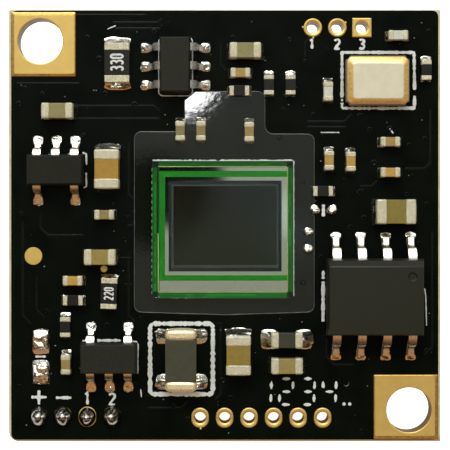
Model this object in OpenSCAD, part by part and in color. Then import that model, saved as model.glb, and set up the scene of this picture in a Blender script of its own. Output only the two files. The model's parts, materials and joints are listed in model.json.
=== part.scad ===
// Bare camera board: an image sensor on a square circuit board, with its memory, clock and power
// parts on the front, and a processor and a cable header on the back.
// The origin is midway between the two mounting holes, on the board's front face.
// +Z points out of the sensor, and +Y to the edge with the row of three holes.

/* [Board] */
// Side of the square board
board_w = 22; // [22:0.5:26]
// Thickness of the board
board_t = 1; // [0.8:0.1:1.6]
// Radius of the one rounded board corner
board_corner_r = 0.5; // [0.2:0.1:1]
// Height of the plated copper over the board
copper_t = 0.05; // [0.03:0.01:0.08]

/* [Mounting holes] */
// Diameter inside the plating
mount_d = 2.3; // [2:0.1:2.6]
// Distance of each hole from both centre lines
mount_xy = 9.4; // [9.2:0.1:9.4]
// Where the corner lands begin, from both centre lines
corner_land_start = 7.6; // [7.5:0.1:7.8]
// Gap between the corner lands and the board edges
corner_land_inset = 0.1; // [0.05:0.05:0.3]

/* [Header holes] */
// Pitch of all three rows
header_pitch = 1.25; // [1.2:0.01:1.27]
// Diameter inside the plating
header_bore_d = 0.58; // [0.5:0.02:0.66]
// Wall of the plated barrels
plating_t = 0.03; // [0.02:0.01:0.05]

/* [Image sensor] */
// Size along X
sensor_w = 7.1; // [6.5:0.05:7.3]
// Size along Y
sensor_d = 6.9; // [6.5:0.05:7.2]
// Height of the solder balls
ball_h = 0.2; // [0.15:0.05:0.3]
// Diameter of the solder balls
ball_d = 0.36; // [0.32:0.02:0.44]
// Pitch of the solder balls
ball_pitch = 0.8; // [0.75:0.01:0.85]
// Thickness of the silicon die
die_t = 0.3; // [0.2:0.05:0.4]
// Height of the wall between the die and the glass
dam_t = 0.06; // [0.04:0.01:0.1]
// Thickness of the cover glass
glass_t = 0.4; // [0.3:0.05:0.5]

/* [Lead packages] */
// Length, width and top height of the small power packages
small_body = [2.9, 1.6, 1.1]; // [1:0.1:3]
// Pitch of their leads
small_pitch = 0.95; // [0.9:0.01:0.95]
// Length, width and top height of the memory package
memory_body = [4.9, 3.9, 1.55]; // [1.4:0.05:5]
// Pitch of its leads
memory_pitch = 1.27; // [1.2:0.01:1.27]

/* [Crystal] */
// Length, width and height of the ceramic base
crystal_base_size = [3.2, 2.5, 0.5]; // [0.5:0.05:3.2]

/* [Cable header] */
// Length, width and height of the shrouded housing
housing_size = [6.75, 3.2, 4.2]; // [3:0.05:7]
// Side of the square pins
pin_w = 0.4; // [0.36:0.01:0.4]

/* [Processor] */
// Side of the square body
processor_w = 9; // [8.6:0.1:9.4]
// Height of the body
processor_h = 0.85; // [0.75:0.05:1]

/* [Hidden] */

$fn = 48;
cut = 0.01;
half_board = board_w / 2;
header_bore_r = header_bore_d / 2;

// Centres of the plated holes
MOUNT_HOLES = [[-mount_xy, mount_xy], [mount_xy, -mount_xy]];
SERVICE_HOLES = [for (i = [0:2]) [4.5 + i * header_pitch, 10.1]];
CONTROL_HOLES = [for (i = [0:5]) [-1.25 + i * header_pitch, -9.8]];
CABLE_HOLES = [for (i = [0:3]) [-9.5 + i * header_pitch, -9.75]];
// A drilled via that no mask covers
OPEN_VIAS = [[6.2, -8.05]];
open_via_r = 0.15;
ROUND_LAND_R = 0.48;
SQUARE_LAND_W = 1;
OVAL_LAND = [0.9, 1.04];

// A chip size is [length, width, height, end length, land start, land end, land width],
// with the land measured along the chip from its middle.
CAPACITOR_0402 = [1, 0.5, 0.5, 0.25, 0.25, 0.75, 0.55];
RESISTOR_0402 = [1, 0.5, 0.35, 0.22, 0.25, 0.75, 0.55];
CAPACITOR_0603 = [1.6, 0.8, 0.8, 0.36, 0.45, 1.1, 0.8];
RESISTOR_0603 = [1.55, 0.8, 0.45, 0.26, 0.45, 1, 0.8];
CAPACITOR_0805 = [2, 1.25, 0.9, 0.45, 0.6, 1.35, 1.25];
RESISTOR_0805 = [2, 1.25, 0.55, 0.36, 0.6, 1.35, 1.25];
FERRITE_0603 = [1.6, 0.8, 0.8, 0.36, 0.45, 1.33, 1.05];
INDUCTOR_1206 = [3.2, 1.6, 1.1, 0.62, 0.73, 1.56, 2.75];

// Chip places are [x, y, angle from the X axis].
TAN_CAPACITORS = [
    [-6.1, 0.55, 0], [-2.25, 4.8, 90], [-1.2, 4.8, 90], [1.25, 4.75, 90],
    [0.8, 7.75, 0], [8.4, 4.25, 0], [8.4, 2.7, 0], [6.4, 3.25, 90],
    [5.3, 3.3, 90], [-7.7, -2.8, 0], [-8.05, -7.05, 90]
];
GREY_CAPACITORS = [[5.25, 6.8, 90], [8.8, 9.65, 0]];
MEDIUM_CAPACITORS = [[-8.45, 5.8, 0], [1.05, 8.85, 0], [-6.3, -1.6, 0], [3.15, -7.1, 0]];
LARGE_CAPACITORS = [[-5.95, 2.85, 90], [8.65, 0.7, 0], [0.7, -6.55, 90]];
SMALL_RESISTORS = [
    [0.75, 6.85, 0], [2.25, 7.15, 90], [3.35, 7.15, 90], [10.25, 7.9, 90],
    [5, 1.75, 0], [-7.7, -3.8, 0], [-8.1, -5.15, 90]
];
MEDIUM_RESISTORS = [[-5.87, -3.45, 88]];
LARGE_RESISTORS = [[-5.45, 8.25, 90]];
FERRITES = [[3.15, -5.8, 0]];
INDUCTORS = [[-2.2, -6.8, 90]];

// Lands that carry no chip: two small pairs as [x, y, angle], and one large pair.
BARE_SMALL_PAIRS = [[5.04, 0.8, 0], [4.27, -0.75, 90]];
BARE_SMALL_LAND = [0.42, 0.42];
BARE_SMALL_GAP = 0.44;
BARE_LARGE_LANDS = [[-9.37, -5.8, -1], [-9.37, -7.6, 1]];
BARE_LARGE_LAND = [0.93, 1.1];
BARE_TONGUE = [0.5, 0.25];

// Lead rows are [place along the body, side].
switch_rows = [for (i = [-1:1], side = [-1, 1]) [i * small_pitch, side]];
core_rows = concat([for (i = [-1:1]) [i * small_pitch, 1]], [for (i = [-1, 1]) [i * small_pitch, -1]]);
io_rows = concat([for (i = [-1, 1]) [i * small_pitch, 1]], [for (i = [-1:1]) [i * small_pitch, -1]]);
memory_rows = [for (i = [-1.5:1.5], side = [-1, 1]) [i * memory_pitch, side]];

// A lead style is [strip thickness, strip width, half span, land start, land end, land width].
SMALL_LEAD = [0.15, 0.4, 1.4, 1, 1.8, 0.55];
MEMORY_LEAD = [0.2, 0.42, 3, 2.15, 3.28, 0.56];
small_standoff = 0.1;
memory_standoff = 0.15;
mould_draft = 0.1;

SWITCH_AT = [-2.5, 8.1, 90];
CORE_REGULATOR_AT = [-8.55, 2.8, 0];
IO_REGULATOR_AT = [-5.85, -6.7, 0];
MEMORY_AT = [7.57, -3.6, 0];
CRYSTAL_AT = [7.75, 7.35, 0];
SENSOR_AT = [-0.1, -0.2, 0];
PROCESSOR_AT = [0.5, 0.5, 0];
BACK_CAPACITORS = [
    [-6, 4, 90], [-6, 2, 90], [-6, 0, 90], [-2, 6.6, 0], [0.5, 6.6, 0], [3, 6.6, 0], [6.9, 3, 90], [6.9, 0, 90]
];

// Heights of the sensor's layers
ball_z = copper_t;
die_z = ball_z + ball_h;
dam_z = die_z + die_t;
glass_z = dam_z + dam_t;
BALL_COLUMNS = 8;
BALL_ROWS = 8;
DAM_WALL = 0.55;

FR4 = [0.07, 0.09, 0.08];
GOLD = [0.85, 0.7, 0.4];
SOLDER = [0.78, 0.77, 0.7];
MOULD = [0.15, 0.15, 0.14];

// Points of a rectangle with round corners, centred on the origin
function round_corners(w, d, r, steps = 4) = [
    for (corner = [0:3], i = [0:steps])
        let (a = 90 * (corner + i / steps),
             side_x = corner == 0 || corner == 3 ? 1 : -1,
             side_y = corner < 2 ? 1 : -1)
        [side_x * (w / 2 - r) + r * cos(a), side_y * (d / 2 - r) + r * sin(a)]
];

// Points along an arc, ends included
function arc(x, y, r, from, to, steps = 4) = [
    for (i = [0:steps])
        let (a = from + (to - from) * i / steps)
        [x + r * cos(a), y + r * sin(a)]
];

module place(at) {
    translate([at.x, at.y, 0]) rotate(at[2]) children();
}

// Carries what is drawn above the front face to the same height below the back face
module on_back() {
    translate([0, 0, -board_t]) mirror([0, 0, 1]) children();
}

// ---- Board and its copper ----

module board_outline() {
    difference() {
        square(board_w, center = true);
        translate([-half_board, -half_board]) square(board_corner_r);
    }
    translate([-half_board + board_corner_r, -half_board + board_corner_r]) circle(board_corner_r);
}

module drill(places, r) {
    for (at = places)
        translate([at.x, at.y, -board_t - cut]) cylinder(r = r, h = board_t + 2 * cut);
}

module board() {
    color(FR4)
    difference() {
        translate([0, 0, -board_t]) linear_extrude(board_t) board_outline();
        drill(MOUNT_HOLES, mount_d / 2 + plating_t);
        drill(SERVICE_HOLES, header_bore_r + plating_t);
        drill(CONTROL_HOLES, header_bore_r + plating_t);
        drill(CABLE_HOLES, header_bore_r + plating_t);
        drill(OPEN_VIAS, open_via_r);
    }
}

// A plated hole: its outline drawn on both faces, joined by the barrel
module plated_hole(bore_r) {
    difference() {
        union() {
            linear_extrude(copper_t) children();
            on_back() linear_extrude(copper_t) children();
            translate([0, 0, -board_t]) cylinder(r = bore_r + plating_t, h = board_t);
        }
        translate([0, 0, -board_t - copper_t - cut])
            cylinder(r = bore_r, h = board_t + 2 * (copper_t + cut));
    }
}

module corner_land_outline() {
    reach = half_board - corner_land_inset - corner_land_start;
    middle = corner_land_start + reach / 2 - mount_xy;
    translate([middle, -middle]) polygon(round_corners(reach, reach, 0.25));
}

module corner_lands() {
    color(GOLD)
    for (i = [0, 1])
        translate([MOUNT_HOLES[i].x, MOUNT_HOLES[i].y]) rotate(180 * (1 - i))
            plated_hole(mount_d / 2) corner_land_outline();
}

module oval_outline() {
    straight = OVAL_LAND.y - OVAL_LAND.x;
    square([OVAL_LAND.x, straight], center = true);
    for (side = [-1, 1])
        translate([0, side * straight / 2]) circle(d = OVAL_LAND.x);
}

module service_hole_lands() {
    color(GOLD) {
        for (i = [0, 1])
            translate(SERVICE_HOLES[i]) plated_hole(header_bore_r) circle(ROUND_LAND_R);
        translate(SERVICE_HOLES[2]) plated_hole(header_bore_r) square(SQUARE_LAND_W, center = true);
    }
}

module control_hole_lands() {
    color(GOLD)
    for (at = CONTROL_HOLES)
        translate(at) plated_hole(header_bore_r) oval_outline();
}

module cable_hole_lands() {
    color(GOLD)
    for (at = CABLE_HOLES)
        translate(at) plated_hole(header_bore_r) oval_outline();
}

module test_lands() {
    color(GOLD) {
        translate([-9.75, -1.55]) cylinder(d = 0.9, h = copper_t);
        translate([-6.15, -2.2]) cylinder(d = 0.36, h = copper_t);
    }
}

module land(from, to, width) {
    translate([from, -width / 2, 0]) cube([to - from, width, copper_t]);
}

module both_ends() {
    for (turn = [0, 180])
        rotate(turn) children();
}

module lands_under(size, places) {
    for (at = places)
        place(at) both_ends() land(size[4], size[5], size[6]);
}

module bare_large_land() {
    translate([-BARE_LARGE_LAND.x / 2, -BARE_LARGE_LAND.y / 2, 0])
        cube([BARE_LARGE_LAND.x, BARE_LARGE_LAND.y, copper_t]);
    translate([-BARE_TONGUE.x / 2, BARE_LARGE_LAND.y / 2, 0])
        cube([BARE_TONGUE.x, BARE_TONGUE.y, copper_t]);
}

module at_bare_large_lands() {
    for (at = BARE_LARGE_LANDS)
        translate([at.x, at.y, 0]) rotate(at[2] > 0 ? 0 : 180) children();
}

module at_bare_small_lands() {
    for (at = BARE_SMALL_PAIRS)
        place(at) both_ends() translate([(BARE_SMALL_GAP + BARE_SMALL_LAND.x) / 2, 0, 0]) children();
}

module chip_lands() {
    color(GOLD) {
        lands_under(CAPACITOR_0402, concat(TAN_CAPACITORS, GREY_CAPACITORS));
        lands_under(RESISTOR_0402, SMALL_RESISTORS);
        lands_under(CAPACITOR_0603, MEDIUM_CAPACITORS);
        lands_under(RESISTOR_0603, MEDIUM_RESISTORS);
        lands_under(CAPACITOR_0805, LARGE_CAPACITORS);
        lands_under(RESISTOR_0805, LARGE_RESISTORS);
        lands_under(FERRITE_0603, FERRITES);
        lands_under(INDUCTOR_1206, INDUCTORS);
        at_bare_large_lands() bare_large_land();
        at_bare_small_lands()
            translate([0, 0, copper_t / 2]) cube([BARE_SMALL_LAND.x, BARE_SMALL_LAND.y, copper_t], center = true);
    }
}

module at_leads(rows) {
    for (row = rows)
        translate([row[0], 0, 0]) rotate(row[1] > 0 ? 90 : -90) children();
}

module package_lands() {
    color(GOLD) {
        place(SWITCH_AT) at_leads(switch_rows) land(SMALL_LEAD[3], SMALL_LEAD[4], SMALL_LEAD[5]);
        place(CORE_REGULATOR_AT) at_leads(core_rows) land(SMALL_LEAD[3], SMALL_LEAD[4], SMALL_LEAD[5]);
        place(IO_REGULATOR_AT) at_leads(io_rows) land(SMALL_LEAD[3], SMALL_LEAD[4], SMALL_LEAD[5]);
        place(MEMORY_AT) at_leads(memory_rows) land(MEMORY_LEAD[3], MEMORY_LEAD[4], MEMORY_LEAD[5]);
        place(CRYSTAL_AT)
            for (side_x = [-1, 1], side_y = [-1, 1])
                translate([side_x * 1.05, side_y * 0.8, copper_t / 2]) cube([1, 0.8, copper_t], center = true);
    }
}

// ---- Image sensor: balls, die, wall and glass ----

module at_balls() {
    for (i = [0:BALL_COLUMNS - 1], j = [0:BALL_ROWS - 1])
        translate([(i - (BALL_COLUMNS - 1) / 2) * ball_pitch, (j - (BALL_ROWS - 1) / 2) * ball_pitch, 0])
            children();
}

module sensor_lands() {
    color(GOLD)
    place(SENSOR_AT) at_balls() cylinder(d = ball_d, h = copper_t, $fn = 24);
}

module sensor_balls() {
    color(SOLDER)
    place(SENSOR_AT) at_balls()
        translate([0, 0, ball_z])
            intersection() {
                translate([0, 0, ball_h / 2]) sphere(d = ball_d, $fn = 24);
                translate([0, 0, ball_h / 2]) cube([ball_d, ball_d, ball_h], center = true);
            }
}

module sensor_slab(z, h) {
    translate([0, 0, z + h / 2]) cube([sensor_w, sensor_d, h], center = true);
}

module sensor_die() {
    color([0.25, 0.3, 0.38])
    place(SENSOR_AT) sensor_slab(die_z, die_t);
}

module sensor_dam() {
    color([0.1, 0.42, 0.15])
    place(SENSOR_AT)
        difference() {
            sensor_slab(dam_z, dam_t);
            translate([0, 0, dam_z + dam_t / 2])
                cube([sensor_w - 2 * DAM_WALL, sensor_d - 2 * DAM_WALL, dam_t + 2 * cut], center = true);
        }
}

module sensor_glass() {
    color([0.3, 0.36, 0.4])
    place(SENSOR_AT) sensor_slab(glass_z, glass_t);
}

// ---- Moulded packages with gull-wing leads ----

// A body drafted away from its parting line, with a wide bevel on the +Y top edge where asked
module moulded_body(size, standoff, bevel = 0) {
    half_l = size.x / 2;
    half_w = size.y / 2;
    middle = (size.z + standoff) / 2 + copper_t;
    base = standoff + copper_t;
    top = size.z + copper_t;
    intersection() {
        rotate([90, 0, 0])
            linear_extrude(size.y + 2 * cut, center = true)
                polygon([
                    [-half_l + mould_draft, base], [half_l - mould_draft, base], [half_l, middle],
                    [half_l - mould_draft, top], [-half_l + mould_draft, top], [-half_l, middle]
                ]);
        rotate([90, 0, 90])
            linear_extrude(size.x + 2 * cut, center = true)
                polygon([
                    [-half_w + mould_draft, base], [half_w - mould_draft, base], [half_w, middle],
                    [half_w - mould_draft, top - bevel], [half_w - mould_draft - bevel, top],
                    [-half_w + mould_draft, top], [-half_w, middle]
                ]);
    }
}

// One strip from inside the body, over its shoulder and down to the foot, running along +X
module gull_wing(size, standoff, style) {
    t = style[0];
    inner_r = 0.06;
    outer_r = inner_r + t;
    half_w = size.y / 2;
    root = half_w - 0.3;
    leg = half_w + 0.12;
    middle = (size.z + standoff) / 2 + copper_t;
    shoulder = middle + t / 2;
    foot = copper_t;
    translate([0, style[1] / 2, 0]) rotate([90, 0, 0])
        linear_extrude(style[1])
            polygon(concat(
                [[root, shoulder]],
                arc(leg + t - outer_r, shoulder - outer_r, outer_r, 90, 0),
                arc(leg + t + inner_r, foot + t + inner_r, inner_r, 180, 270),
                [[style[2], foot + t], [style[2], foot]],
                arc(leg + outer_r, foot + outer_r, outer_r, 270, 180),
                arc(leg - inner_r, shoulder - t - inner_r, inner_r, 0, 90),
                [[root, shoulder - t]]
            ));
}

module leads(at, rows, size, standoff, style) {
    color(SOLDER)
    place(at) at_leads(rows) gull_wing(size, standoff, style);
}

module leaded_body(at, rows, size, standoff, style, bevel = 0) {
    color(MOULD)
    difference() {
        place(at) moulded_body(size, standoff, bevel);
        leads(at, rows, size, standoff, style);
    }
}

module memory_body() {
    difference() {
        leaded_body(MEMORY_AT, memory_rows, memory_body, memory_standoff, MEMORY_LEAD, 0.3);
        color(MOULD)
        place(MEMORY_AT) translate([1.8, 1.05, memory_body.z + copper_t - 0.06]) cylinder(d = 0.4, h = 0.1);
    }
}

module memory_leads() {
    leads(MEMORY_AT, memory_rows, memory_body, memory_standoff, MEMORY_LEAD);
}

module switch_body() {
    leaded_body(SWITCH_AT, switch_rows, small_body, small_standoff, SMALL_LEAD);
}

module switch_leads() {
    leads(SWITCH_AT, switch_rows, small_body, small_standoff, SMALL_LEAD);
}

module core_regulator_body() {
    leaded_body(CORE_REGULATOR_AT, core_rows, small_body, small_standoff, SMALL_LEAD);
}

module core_regulator_leads() {
    leads(CORE_REGULATOR_AT, core_rows, small_body, small_standoff, SMALL_LEAD);
}

module io_regulator_body() {
    leaded_body(IO_REGULATOR_AT, io_rows, small_body, small_standoff, SMALL_LEAD);
}

module io_regulator_leads() {
    leads(IO_REGULATOR_AT, io_rows, small_body, small_standoff, SMALL_LEAD);
}

// ---- Crystal: ceramic tub, quartz blank, sealing frame and lid ----

crystal_floor = 0.15;
crystal_ledge = 0.12;
CRYSTAL_CAVITY = [2.3, 1.6];
CRYSTAL_FRAME_H = 0.12;
CRYSTAL_LID_H = 0.08;

module crystal_base() {
    color([0.55, 0.5, 0.42])
    place(CRYSTAL_AT) translate([0, 0, copper_t])
        difference() {
            union() {
                difference() {
                    translate([0, 0, crystal_base_size.z / 2]) cube(crystal_base_size, center = true);
                    translate([0, 0, crystal_floor + crystal_base_size.z / 2])
                        cube([CRYSTAL_CAVITY.x, CRYSTAL_CAVITY.y, crystal_base_size.z], center = true);
                }
                translate([-CRYSTAL_CAVITY.x / 2, -CRYSTAL_CAVITY.y / 2, crystal_floor])
                    cube([0.4, CRYSTAL_CAVITY.y, crystal_ledge]);
            }
            for (side_x = [-1, 1], side_y = [-1, 1])
                translate([side_x * crystal_base_size.x / 2, side_y * crystal_base_size.y / 2, -cut])
                    cylinder(r = 0.18, h = crystal_base_size.z + 2 * cut, $fn = 24);
        }
}

module crystal_blank() {
    color([0.85, 0.88, 0.9])
    place(CRYSTAL_AT)
        translate([-CRYSTAL_CAVITY.x / 2 + 0.1, -0.65, copper_t + crystal_floor + crystal_ledge])
            cube([2, 1.3, 0.06]);
}

module crystal_seal_ring() {
    color([0.85, 0.72, 0.35])
    place(CRYSTAL_AT)
        translate([0, 0, copper_t + crystal_base_size.z])
            linear_extrude(CRYSTAL_FRAME_H)
                difference() {
                    polygon(round_corners(crystal_base_size.x - 0.1, crystal_base_size.y - 0.1, 0.3));
                    square(CRYSTAL_CAVITY, center = true);
                }
}

module crystal_lid() {
    color([0.84, 0.8, 0.7])
    place(CRYSTAL_AT)
        translate([0, 0, copper_t + crystal_base_size.z + CRYSTAL_FRAME_H])
            linear_extrude(CRYSTAL_LID_H)
                polygon(round_corners(crystal_base_size.x - 0.65, crystal_base_size.y - 0.6, 0.2));
}

// ---- Chip parts: a core between two wrapped ends ----

end_wrap = 0.02;

// A bar along X with its long edges rounded
module bar(length, width, height, r) {
    translate([0, 0, height / 2]) rotate([90, 0, 90])
        linear_extrude(length, center = true) polygon(round_corners(width, height, r, 3));
}

module chip_core(size) {
    translate([0, 0, copper_t + end_wrap])
        bar(size[0] - 2 * end_wrap, size[1] - 2 * end_wrap, size[2] - 2 * end_wrap, 0.05);
}

module chip_end(size) {
    difference() {
        translate([(size[0] - size[3]) / 2, 0, copper_t]) bar(size[3], size[1], size[2], 0.07);
        chip_core(size);
    }
}

module cores(size, places) {
    for (at = places)
        place(at) chip_core(size);
}

module ends(size, places) {
    for (at = places)
        place(at) both_ends() chip_end(size);
}

module tan_capacitor_cores() { color([0.6, 0.5, 0.28]) cores(CAPACITOR_0402, TAN_CAPACITORS); }
module tan_capacitor_ends() { color(SOLDER) ends(CAPACITOR_0402, TAN_CAPACITORS); }
module grey_capacitor_cores() { color([0.6, 0.6, 0.56]) cores(CAPACITOR_0402, GREY_CAPACITORS); }
module grey_capacitor_ends() { color(SOLDER) ends(CAPACITOR_0402, GREY_CAPACITORS); }
module medium_capacitor_cores() { color([0.5, 0.45, 0.3]) cores(CAPACITOR_0603, MEDIUM_CAPACITORS); }
module medium_capacitor_ends() { color(SOLDER) ends(CAPACITOR_0603, MEDIUM_CAPACITORS); }
module large_capacitor_cores() { color([0.52, 0.45, 0.3]) cores(CAPACITOR_0805, LARGE_CAPACITORS); }
module large_capacitor_ends() { color(SOLDER) ends(CAPACITOR_0805, LARGE_CAPACITORS); }
module ferrite_core() { color([0.22, 0.22, 0.21]) cores(FERRITE_0603, FERRITES); }
module ferrite_ends() { color(SOLDER) ends(FERRITE_0603, FERRITES); }
module inductor_core() { color([0.3, 0.28, 0.24]) cores(INDUCTOR_1206, INDUCTORS); }
module inductor_ends() { color([0.8, 0.74, 0.6]) ends(INDUCTOR_1206, INDUCTORS); }

// ---- Resistors: a ceramic slab, a coat over its middle, and ends bent round its edges ----

coat_t = 0.03;

module resistor_slab(size) {
    translate([0, 0, copper_t + size[2] / 2])
        cube([size[0] - 2 * end_wrap, size[1], size[2] - 2 * coat_t], center = true);
}

module resistor_coat(size) {
    translate([0, 0, copper_t + size[2] - coat_t / 2])
        cube([size[0] - 2 * size[3], size[1] - 0.04, coat_t], center = true);
}

module resistor_end(size) {
    difference() {
        translate([size[0] / 2 - size[3], -size[1] / 2, copper_t]) cube([size[3], size[1], size[2]]);
        resistor_slab(size);
    }
}

module resistor_bases(size, places) {
    color([0.85, 0.84, 0.8])
    for (at = places)
        place(at) resistor_slab(size);
}

module resistor_coats(size, places) {
    color([0.1, 0.1, 0.1])
    for (at = places)
        place(at) resistor_coat(size);
}

module resistor_ends(size, places) {
    color(SOLDER)
    for (at = places)
        place(at) both_ends() resistor_end(size);
}

module small_resistor_bases() { resistor_bases(RESISTOR_0402, SMALL_RESISTORS); }
module small_resistor_coats() { resistor_coats(RESISTOR_0402, SMALL_RESISTORS); }
module small_resistor_ends() { resistor_ends(RESISTOR_0402, SMALL_RESISTORS); }
module medium_resistor_base() { resistor_bases(RESISTOR_0603, MEDIUM_RESISTORS); }
module medium_resistor_coat() { resistor_coats(RESISTOR_0603, MEDIUM_RESISTORS); }
module medium_resistor_ends() { resistor_ends(RESISTOR_0603, MEDIUM_RESISTORS); }
module large_resistor_base() { resistor_bases(RESISTOR_0805, LARGE_RESISTORS); }
module large_resistor_coat() { resistor_coats(RESISTOR_0805, LARGE_RESISTORS); }
module large_resistor_ends() { resistor_ends(RESISTOR_0805, LARGE_RESISTORS); }

// ---- Solder ----

// A hollow fillet that climbs from the land to the face at x = 0
module solder_fillet(run, rise, width) {
    steps = 4;
    translate([0, width / 2, copper_t]) rotate([90, 0, 0])
        linear_extrude(width)
            polygon(concat([[0, 0]], [
                for (i = [0:steps])
                    let (a = 90 * i / steps)
                    [run * (1 - sin(a)), rise * (1 - cos(a))]
            ]));
}

module solder_at(size, places) {
    for (at = places)
        place(at) both_ends()
            translate([size[0] / 2, 0, 0])
                solder_fillet(size[5] - size[0] / 2 - 0.02, size[2] * 0.6, size[1] - 0.04);
}

// The inductor's wide lands are wetted at its four lower corners.
module inductor_solder(size) {
    for (side_x = [-1, 1], side_y = [-1, 1])
        translate([side_x * (size[0] / 2 - 0.3), side_y * size[1] / 2, 0]) rotate(side_y * 90)
            solder_fillet((size[6] - size[1]) / 2 - 0.05, size[2] * 0.4, 0.45);
}

module chip_solder() {
    color(SOLDER) {
        solder_at(CAPACITOR_0402, concat(TAN_CAPACITORS, GREY_CAPACITORS));
        solder_at(RESISTOR_0402, SMALL_RESISTORS);
        solder_at(CAPACITOR_0603, MEDIUM_CAPACITORS);
        solder_at(RESISTOR_0603, MEDIUM_RESISTORS);
        solder_at(CAPACITOR_0805, LARGE_CAPACITORS);
        solder_at(RESISTOR_0805, LARGE_RESISTORS);
        solder_at(FERRITE_0603, FERRITES);
        for (at = INDUCTORS)
            place(at) inductor_solder(INDUCTOR_1206);
    }
}

module toe_solder(at, rows, style) {
    place(at) at_leads(rows)
        translate([style[2], 0, 0]) solder_fillet(style[4] - style[2] - 0.03, style[0] * 0.8, style[1]);
}

module package_solder() {
    color(SOLDER) {
        toe_solder(SWITCH_AT, switch_rows, SMALL_LEAD);
        toe_solder(CORE_REGULATOR_AT, core_rows, SMALL_LEAD);
        toe_solder(IO_REGULATOR_AT, io_rows, SMALL_LEAD);
        toe_solder(MEMORY_AT, memory_rows, MEMORY_LEAD);
    }
}

module bare_land_solder() {
    color(SOLDER) {
        at_bare_large_lands()
            translate([0, 0, copper_t]) linear_extrude(0.08)
                polygon(round_corners(BARE_LARGE_LAND.x - 0.06, BARE_LARGE_LAND.y - 0.06, 0.2));
        at_bare_small_lands()
            translate([0, 0, copper_t]) linear_extrude(0.12)
                polygon(round_corners(BARE_SMALL_LAND.x - 0.04, BARE_SMALL_LAND.y - 0.04, 0.15));
    }
}

// ---- Cable header on the back, with its pins soldered on the front ----

CABLE_ROW_AT = [-9.5 + 1.5 * header_pitch, -9.75, 0];
pin_row_to_edge = half_board + CABLE_ROW_AT.y;
housing_floor = 1;
CAVITY = [5.6, 2.1];
cavity_offset = 0.3;
LEAD_IN = 0.25;
PIN_TIP = 0.15;
pin_reach = 3.3;
pin_tail = 0.4;
DOME_H = 0.55;

module at_pins() {
    for (i = [-1.5:1.5])
        translate([i * header_pitch, 0, 0]) children();
}

// A square bar along Z with all four edges of both ends chamfered
module square_pin(w, from, to, tip) {
    profile = [
        [-w / 2 + tip, from], [w / 2 - tip, from], [w / 2, from + tip], [w / 2, to - tip],
        [w / 2 - tip, to], [-w / 2 + tip, to], [-w / 2, to - tip], [-w / 2, from + tip]
    ];
    intersection() {
        rotate([90, 0, 0]) linear_extrude(w, center = true) polygon(profile);
        rotate([90, 0, 90]) linear_extrude(w, center = true) polygon(profile);
    }
}

module cable_pin_set() {
    place(CABLE_ROW_AT) on_back() at_pins()
        square_pin(pin_w, -board_t - pin_tail, pin_reach, PIN_TIP);
}

// The mouth widens towards its rim on all four sides.
module cavity_mouth() {
    rim = housing_size.z + cut;
    translate([0, cavity_offset, 0])
        intersection() {
            rotate([90, 0, 0])
                linear_extrude(housing_size.y, center = true)
                    polygon([
                        [-CAVITY.x / 2, rim - LEAD_IN], [CAVITY.x / 2, rim - LEAD_IN],
                        [CAVITY.x / 2 + LEAD_IN, rim], [-CAVITY.x / 2 - LEAD_IN, rim]
                    ]);
            rotate([90, 0, 90])
                linear_extrude(housing_size.x, center = true)
                    polygon([
                        [-CAVITY.y / 2, rim - LEAD_IN], [CAVITY.y / 2, rim - LEAD_IN],
                        [CAVITY.y / 2 + LEAD_IN, rim], [-CAVITY.y / 2 - LEAD_IN, rim]
                    ]);
        }
}

module housing_form() {
    difference() {
        translate([-housing_size.x / 2, -pin_row_to_edge, 0]) cube(housing_size);
        translate([-CAVITY.x / 2, cavity_offset - CAVITY.y / 2, housing_floor])
            cube([CAVITY.x, CAVITY.y, housing_size.z]);
        cavity_mouth();
        // the key window in the inner long wall, and two polarising slots in the outer one
        translate([-1.3, 0, housing_floor + 0.7]) cube([2.6, housing_size.y, housing_size.z]);
        for (side = [-1, 1])
            translate([side * 2 - 0.35, -housing_size.y, housing_floor]) cube([0.7, housing_size.y, housing_size.z]);
        // relief under the base, so that the housing stands on its two end pads
        translate([-CAVITY.x / 2, -housing_size.y, -cut]) cube([CAVITY.x, 2 * housing_size.y, 0.15 + cut]);
    }
}

module cable_housing() {
    color([0.9, 0.88, 0.82])
    difference() {
        place(CABLE_ROW_AT) on_back() housing_form();
        cable_pin_set();
    }
}

module cable_pins() {
    color(SOLDER) cable_pin_set();
}

// Each joint fills its barrel and rises in a dome over the pin's tail.
module pin_solder() {
    steps = 6;
    foot_r = OVAL_LAND.x / 2 - 0.02;
    color(SOLDER)
    difference() {
        place(CABLE_ROW_AT) at_pins() rotate_extrude()
            polygon(concat([[0, -board_t]], [[header_bore_r, -board_t], [header_bore_r, copper_t]], [
                for (i = [0:steps])
                    let (a = 90 * i / steps)
                    [foot_r * cos(a), copper_t + DOME_H * pow(sin(a), 1.3)]
            ]));
        cable_pin_set();
    }
}

// ---- Processor and its capacitors, on the back ----

CONTACTS_PER_SIDE = 16;
contact_pitch = 0.5;
CONTACT = [0.4, 0.25, 0.2];
paddle_w = 6.2;

module at_contacts() {
    for (turn = [0:90:270], i = [0:CONTACTS_PER_SIDE - 1])
        rotate(turn) translate([processor_w / 2, (i - (CONTACTS_PER_SIDE - 1) / 2) * contact_pitch, 0]) children();
}

module paddle_outline(w) {
    polygon([[-w / 2, -w / 2], [w / 2, -w / 2], [w / 2, w / 2], [-w / 2 + 0.5, w / 2], [-w / 2, w / 2 - 0.5]]);
}

module contact_set() {
    at_contacts() translate([-CONTACT.x, -CONTACT.y / 2, copper_t]) cube(CONTACT);
    translate([0, 0, copper_t]) linear_extrude(CONTACT.z) paddle_outline(paddle_w);
}

module processor_body() {
    color(MOULD)
    place(PROCESSOR_AT) on_back()
        difference() {
            translate([0, 0, copper_t]) linear_extrude(processor_h)
                polygon(round_corners(processor_w, processor_w, 0.08, 2));
            contact_set();
            translate([-processor_w / 2 + 0.9, processor_w / 2 - 0.9, copper_t + processor_h - 0.05])
                cylinder(d = 0.7, h = 0.1);
        }
}

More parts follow.
